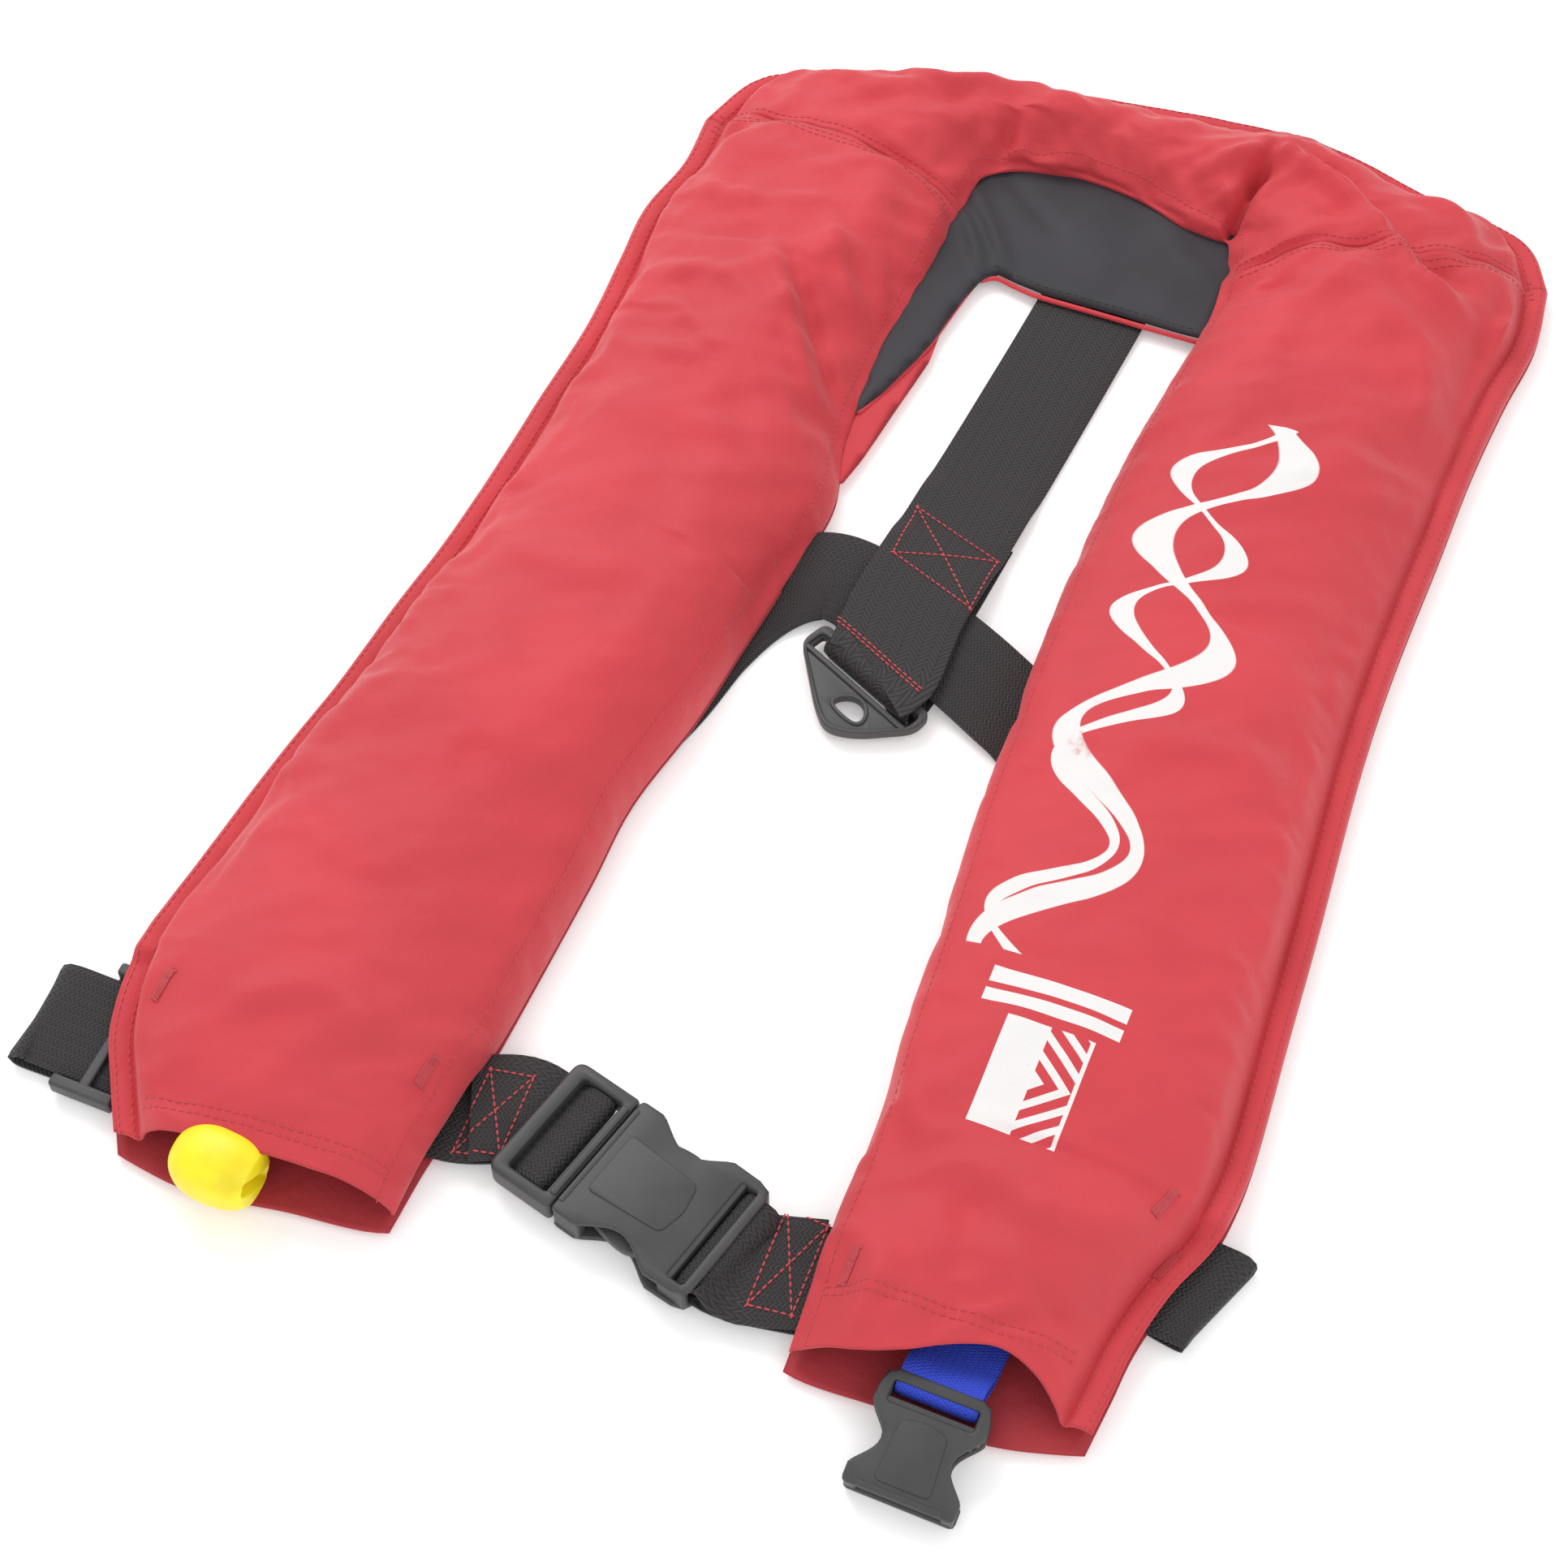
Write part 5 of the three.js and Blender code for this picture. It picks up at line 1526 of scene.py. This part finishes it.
def female_body(name, where, length, half, thick, neck, tail, finish):
    """A buckle's open half: two cheeks, mouth walls, a core and the bar its webbing folds round."""
    wall, round_ = 2.3, 1.0
    line = waisted(length, half, neck)
    slot_top = box_line(length - tail + 1.6, length - 4.0, -half + 4.4, half - 4.4, 1.2)
    parts = [
        plate("cheek_top", [line, slot_top], thick / 2 - wall, thick / 2, round_, finish, where),
        plate("cheek_foot", [line, slot_top], -thick / 2, -thick / 2 + wall, round_, finish, where),
        plate(
            "tail_wall_a", [box_line(length - tail - 1, length - 1.2, half - 4.6, half - 1.4, 1.2)],
            -thick / 2 + 0.8, thick / 2 - 0.8, 0.6, finish, where
        ),
        plate(
            "tail_wall_b", [box_line(length - tail - 1, length - 1.2, -half + 1.4, -half + 4.6, 1.2)],
            -thick / 2 + 0.8, thick / 2 - 0.8, 0.6, finish, where
        ),
        plate(
            "core", [box_line(length - tail - 3.0, length - tail + 3.4, -half + 3.4, half - 3.4, 0.8)],
            -thick / 2 + 0.8, thick / 2 - 0.8, 0.6, finish, where
        ),
        plate(
            "mouth_wall_a", [box_line(0.4, length * 0.2, half - 4.8, half - 0.5, 1.0)], -thick / 2 + 0.8,
            thick / 2 - 0.8, 0.6, finish, where
        ),
        plate(
            "mouth_wall_b", [box_line(0.4, length * 0.2, -half + 0.5, -half + 4.8, 1.0)], -thick / 2 + 0.8,
            thick / 2 - 0.8, 0.6, finish, where
        ),
        plate(
            "raised_field",
            [
                rounded(
                    [
                        (length * 0.1, -half * 0.5), (length * 0.62, -half * 0.42), (length * 0.66, 0),
                        (length * 0.62, half * 0.42), (length * 0.1, half * 0.5)
                    ],
                    2.5
                )
            ],
            thick / 2 - 0.6, thick / 2 + 0.5, 0.4, finish, where
        ),
        plate(
            "mouth_lip", [box_line(0.3, 2.3, -half + 4, half - 4, 0.8)], thick / 2 - 0.6, thick / 2 + 0.35,
            0.3, finish, where
        ),
    ]
    return merged(name, parts)


def shell_of(node, finish, width=0.5):
    """A frame node as it is, with its edges rounded and its real finish."""
    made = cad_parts[node]
    weld = made.modifiers.new("Weld", "WELD")
    weld.merge_threshold = WELD
    bevel = made.modifiers.new("Edges", "BEVEL")
    bevel.width, bevel.segments = width * MM, 2
    bevel.limit_method, bevel.angle_limit = "ANGLE", math.radians(34)
    made.data.materials.clear()
    made.data.materials.append(finish)
    return made


class JACKET_OT_front_buckle(bpy.types.Operator):
    """Side-squeeze buckle at the waist: open half, frame half and its two spring arms"""

    bl_idname = "jacket.front_buckle"
    bl_label = "Front Buckle"

    def execute(self, context):
        plastic = built("dark_plastic")
        where = placed(*BUCKLE, BUCKLE_TURN)
        half = 25.0
        female = female_body(
            "buckle_open_half", where @ Matrix.Translation((0.0005, 0, 0)), BUCKLE_LENGTH, half, 13.0, 7.0,
            12.0, plastic
        )
        hand_over(female, "buckle_half_female", "dark_plastic", "buckle_female")
        line = rounded([(-27, -half), (-0.3, -half), (-0.3, half), (-27, half)], [4.5, 2.0, 2.0, 4.5], 6)
        hole = rounded(
            [(-21.4, -half + 4.6), (-4.6, -half + 4.6), (-4.6, half - 4.6), (-21.4, half - 4.6)], 1.6
        )
        male = merged("buckle_frame_half", [
            plate("male_frame", [line, hole], -5.0, 5.0, 1.3, plastic, where),
            plate(
                "male_bar", [box_line(-14.4, -10.2, -half + 3.6, half - 3.6, 1.2)], -1.9, 1.4, 0.9, plastic,
                where
            ),
            plate(
                "male_front_rib", [box_line(-3.9, -1.2, -half + 5, half - 5, 0.9)], 4.4, 5.7, 0.5, plastic,
                where
            ),
            plate(
                "male_tongue", [rounded([(-1.5, -18.6), (5, -17), (5, 17), (-1.5, 18.6)], 1.0)], -1.9, 1.9,
                0.7, plastic, where
            ),
            plate(
                "male_guide", [rounded([(0, -2), (31, -1.6), (31, 1.6), (0, 2)], 0.9)], -1.9, 1.9, 0.7,
                plastic, where
            ),
        ])
        hand_over(male, "buckle_half_male", "dark_plastic", "buckle_male")
        arm = [
            (5.6, 12.6), (5.6, 17.3), (12, 18.8), (17, 19.9), (22, 20.8), (26, 21.1), (29, 20.8), (33, 19),
            (35, 16), (33.4, 14.5), (24, 14.8), (12, 13.6)
        ]
        for name, side, body, node in (
            ("spring_arm_upper", 1, "prong_upper", "buckle_prong_upper"),
            ("spring_arm_lower", -1, "prong_lower", "buckle_prong_lower")
        ):
            points = [(x, y * side) for x, y in smooth_line([np.array(p) for p in arm], 1.5, closed=True)]
            made = merged(name, [plate(name, [points], -1.9, 1.9, 0.7, plastic, where)])
            hand_over(made, body, "dark_plastic", node)
        return {"FINISHED"}


class JACKET_OT_crotch_buckle(bpy.types.Operator):
    """Small buckle half on the blue webbing under the right lobe"""

    bl_idname = "jacket.crotch_buckle"
    bl_label = "Crotch Buckle"

    def execute(self, context):
        where = placed(*CROTCH, 90.0) @ Matrix.Rotation(math.radians(-CROTCH_TILT), 4, "Y")
        made = female_body("crotch_buckle_body", where, 40.0, 19.0, 11.0, 7.0, 12.6, built("dark_plastic"))
        hand_over(made, "crotch_buckle", "dark_plastic", "crotch_buckle")
        return {"FINISHED"}


class JACKET_OT_ring_and_adjuster(bpy.types.Operator):
    """Three-cornered back ring with its raised rim, and the belt's adjuster"""

    bl_idname = "jacket.ring_and_adjuster"
    bl_label = "Ring and Adjuster"

    def execute(self, context):
        plastic = built("dark_plastic")
        where = placed(RING_PIVOT[0], RING_PIVOT[1], 5.0, math.degrees(RING_TURN))
        corners = [(-29.2, 3.2), (28.2, 3.2), (29.4, -6), (16, -24), (6, -30.5), (-4, -26), (-29.5, -9)]
        line = rounded(corners, [3.5, 3.5, 5, 7, 6, 6, 4], 6)
        slot = rounded([(-25.6, -7.4), (25.6, -7.4), (25.6, -0.9), (-25.6, -0.9)], 1.6)
        eye = [
            (5.8 + 6.6 * math.cos(a) , -17.2 + 4.3 * math.sin(a) - 0.9 * math.cos(2 * a))
            for a in np.linspace(0, 2 * math.pi, 25)[:-1]
        ]
        rim_eye = [
            (5.8 + 8.2 * math.cos(a), -17.2 + 5.9 * math.sin(a) - 0.9 * math.cos(2 * a))
            for a in np.linspace(0, 2 * math.pi, 25)[:-1]
        ]
        ring = merged("ring_body", [
            plate("ring_base", [line, slot, eye], -2.1, 1.1, 0.7, plastic, where),
            plate(
                "ring_rim",
                [
                    line,
                    rounded(
                        [
                            (-26.6, -0.7), (26, -0.7), (27, -7), (14.4, -22.6), (5.8, -28.2), (-3.2, -24.2),
                            (-26.8, -9.4)
                        ],
                        [2, 2, 4, 5, 5, 5, 3], 6
                    )
                ],
                0.2, 2.3, 0.7, plastic, where
            ),
            plate("ring_bar", [box_line(-26.5, 26.5, -0.8, 3.0, 1.2)], -2.1, 2.1, 1.2, plastic, where),
            plate(
                "ring_ledge", [rounded([(-26.8, -10.2), (26.4, -10.2), (26.4, -7.8), (-26.8, -7.8)], 0.8)],
                0.2, 2.3, 0.7, plastic, where
            ),
            plate("ring_eye_rim", [rim_eye, eye], 0.4, 1.9, 0.5, plastic, where),
        ])
        hand_over(ring, "ring", "dark_plastic", "back_ring")
        x, y = ADJUSTER
        where = placed(x, y, 0)
        top, foot = UPPER_WEB + 3.6, 6.5
        adjuster = merged("adjuster_body", [
            plate("adjuster_side_a", [box_line(-12, 12, 21.3, 26, 1.4)], 2.6, top, 1.0, plastic, where),
            plate("adjuster_side_b", [box_line(-12, 12, -26, -21.3, 1.4)], 2.6, top, 1.0, plastic, where),
            plate(
                "adjuster_bar_mid", [box_line(-1.9, 1.9, -22.5, 22.5, 0.8)], foot + 0.3, top - 0.2, 0.7,
                plastic, where
            ),
            plate(
                "adjuster_bar_out", [box_line(-11.9, -8.2, -22.5, 22.5, 0.8)], 2.6, 4.0, 0.6, plastic, where
            ),
            plate("adjuster_bar_in", [box_line(8.2, 11.9, -22.5, 22.5, 0.8)], 2.6, 4.0, 0.6, plastic, where),
        ])
        hand_over(adjuster, "adjuster", "dark_plastic", "belt_adjuster")
        return {"FINISHED"}


class JACKET_OT_pull_handle(bpy.types.Operator):
    """Yellow firing handle with its slot"""

    bl_idname = "jacket.pull_handle"
    bl_label = "Pull Handle"

    def execute(self, context):
        lo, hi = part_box("pull_handle")
        mid, size = (lo + hi) / 2, hi - lo
        work = bmesh.new()
        bmesh.ops.create_icosphere(work, subdivisions=6, radius=1.0)
        for v in work.verts:
            x, y, z = v.co
            power = 0.82
            v.co = Vector([math.copysign(abs(c) ** power, c) for c in (x, y, z)])
            v.co = Vector((v.co.x * 0.5 * size.x, v.co.y * 0.5 * size.y, v.co.z * 0.47 * size.z))
            flat = 0.40 * size.x  # the end is cut flat across and has the cord's slanted slot in it
            over = v.co.x - flat
            if over > 0:
                v.co.x = flat + over * 0.25
            across = (v.co.z * 0.8 + v.co.y * 0.6) / MM
            along = (v.co.z * -0.6 + v.co.y * 0.8) / MM
            slot = math.exp(-((across / 2.3) ** 6)) * math.exp(-((along / 8.2) ** 8))
            slot *= 1 if v.co.x > 0 else 0
            v.co.x -= slot * 4.2 * MM
        bmesh.ops.transform(work, matrix=Matrix.Translation(mid), verts=work.verts)
        data = bpy.data.meshes.new("handle_knob")
        work.to_mesh(data)
        work.free()
        data.materials.append(built("yellow_plastic"))
        data.shade_smooth()
        made = bpy.data.objects.new("handle_knob", data)
        context.collection.objects.link(made)
        hand_over(made, "pull", "yellow_plastic", "pull_handle")
        return {"FINISHED"}


class JACKET_OT_inner_parts(bpy.types.Operator):
    """Parts that lie inside the cover: bladder, inflator, cylinder, oral tube and whistle"""

    bl_idname = "jacket.inner_parts"
    bl_label = "Inner Parts"

    def execute(self, context):
        for finish, nodes in (
            ("yellow_plastic", ("inflator_body", "inflator_lever", "oral_cap", "whistle")),
            (
                "black_rubber",
                ("bladder_valve_stem", "inflator_cap_nut", "cylinder_gasket", "oral_flange", "oral_tube")
            ),
            ("steel", ("piercing_pin", "lever_pivot_pin", "gas_cylinder")),
            ("green_plastic", ("status_clip",)),
            ("red_plastic", ("oral_valve",)),
            ("pull_cord", ("pull_lanyard", "whistle_cord")),
        ):
            for node in nodes:
                shell_of(node, built(finish), 0.15 if finish == "pull_cord" else 0.45)
        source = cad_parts["bladder"]
        made = bpy.data.objects.new("bladder_folded", source.data.copy())
        context.collection.objects.link(made)
        outward(made, WELD)
        with_modifier(made, "REMESH", mode="VOXEL", voxel_size=FILM_CELL)
        settle(made)
        made.data.update()
        normals = [v.normal.copy() for v in made.data.vertices]
        for v, n in zip(made.data.vertices, normals):
            fold = noise.noise(v.co * 60) * 0.9 + noise.noise(v.co * 140) * 0.4
            v.co -= n * (0.7 + 0.5 * fold) * MM
            if n.z > 0.2:
                v.co.z -= FILM_DROP * MM
        made.data.materials.clear()
        made.data.materials.append(built("bladder_film"))
        made.data.shade_smooth()
        hand_over(made, "root", "bladder_film", "bladder")
        return {"FINISHED"}


# ---------------------------------------------------------------- stage
CAMERA_AIM = at(-16.3, -81.0, 15.0)
CAMERA_AZIMUTH, CAMERA_ELEVATION = 22.7, 56.0  # degrees
CAMERA_DISTANCE, CAMERA_LENS = 1.06, 67.08  # m, mm


class JACKET_OT_stage(bpy.types.Operator):
    """Pale floor, soft studio light and the camera"""

    bl_idname = "jacket.stage"
    bl_label = "Stage"

    def execute(self, context):
        scene = context.scene
        floor_size = 6.0
        pale = Finish("pale floor").surface(
            Base_Color=(0.95, 0.95, 0.95), Roughness=0.9, Specular_IOR_Level=0.1,
            Emission_Color=(1.0, 1.0, 1.0), Emission_Strength=0.22
        )
        half = floor_size / 2
        floor = mesh_object(
            "floor",
            [(-half, -half, -0.0003), (half, -half, -0.0003), (half, half, -0.0003), (-half, half, -0.0003)],
            [(0, 1, 2, 3)], pale, smooth=False
        )
        world = bpy.data.worlds.new("studio")
        scene.world = world
        scene.view_settings.view_transform = "Standard"
        world.use_nodes = True
        world.node_tree.nodes["Background"].inputs[0].default_value = (1, 1, 1, 1)
        world.node_tree.nodes["Background"].inputs[1].default_value = 0.8
        for name, place, size, power, tint in (
            ("key light", (-0.9, 0.75, 1.35), 0.9, 13.0, (1, 0.99, 0.98)),
            ("fill light", (1.3, -0.4, 1.3), 1.4, 5.0, (0.98, 0.99, 1)),
            ("front light", (-0.1, -1.6, 1.0), 1.2, 3.0, (1, 1, 1)),
        ):
            data = bpy.data.lights.new(name, "AREA")
            data.energy, data.size, data.color = power, size, tint
            light = bpy.data.objects.new(name, data)
            light.location = place
            light.rotation_euler = (Vector((0, 0, 0)) - Vector(place)).to_track_quat("-Z", "Y").to_euler()
            context.collection.objects.link(light)
        camera = bpy.data.objects.new("camera", bpy.data.cameras.new("camera"))
        camera.data.sensor_width, camera.data.lens = 36.0, CAMERA_LENS
        camera.data.clip_start, camera.data.clip_end = 0.05, 20.0
        aim = Vector(CAMERA_AIM)
        azimuth, elevation = math.radians(CAMERA_AZIMUTH), math.radians(CAMERA_ELEVATION)
        back = Vector(
            (
                math.sin(azimuth) * math.cos(elevation), -math.cos(azimuth) * math.cos(elevation),
                math.sin(elevation)
            )
        )
        camera.location = aim + back * CAMERA_DISTANCE
        camera.rotation_euler = (-back).to_track_quat("-Z", "Y").to_euler()
        context.collection.objects.link(camera)
        scene.camera = camera
        return {"FINISHED"}


class JACKET_PT_panel(bpy.types.Panel):
    """Lists the jacket's pieces, sizes and colours"""

    bl_idname = "JACKET_PT_panel"
    bl_label = "Life Jacket"
    bl_space_type = "VIEW_3D"
    bl_region_type = "UI"
    bl_category = "Life Jacket"

    def draw(self, context):
        for group in (context.scene.jacket_colours, context.scene.jacket_sizes):
            for key in group.bl_rna.properties.keys():
                if key not in ("rna_type", "name"):
                    self.layout.prop(group, key)
        for operator in OPERATORS:
            self.layout.operator(operator.bl_idname)


OPERATORS = (
    JACKET_OT_stage, JACKET_OT_cover_left, JACKET_OT_cover_yoke, JACKET_OT_cover_right, JACKET_OT_back_panels,
    JACKET_OT_cover_seams,
    JACKET_OT_collar, JACKET_OT_webbing, JACKET_OT_box_stitches, JACKET_OT_front_buckle,
    JACKET_OT_crotch_buckle,
    JACKET_OT_ring_and_adjuster, JACKET_OT_pull_handle, JACKET_OT_inner_parts,
)
CLASSES = (JacketColours, JacketSizes, *OPERATORS, JACKET_PT_panel)


def register():
    for cls in CLASSES:
        bpy.utils.register_class(cls)
    bpy.types.Scene.jacket_colours = PointerProperty(type=JacketColours)
    bpy.types.Scene.jacket_sizes = PointerProperty(type=JacketSizes)


def unregister():
    del bpy.types.Scene.jacket_sizes
    del bpy.types.Scene.jacket_colours
    for cls in reversed(CLASSES):
        bpy.utils.unregister_class(cls)


def main():
    register()
    for operator in OPERATORS:
        group, name = operator.bl_idname.split(".")
        getattr(getattr(bpy.ops, group), name)()


if __name__ == "__main__":
    main()
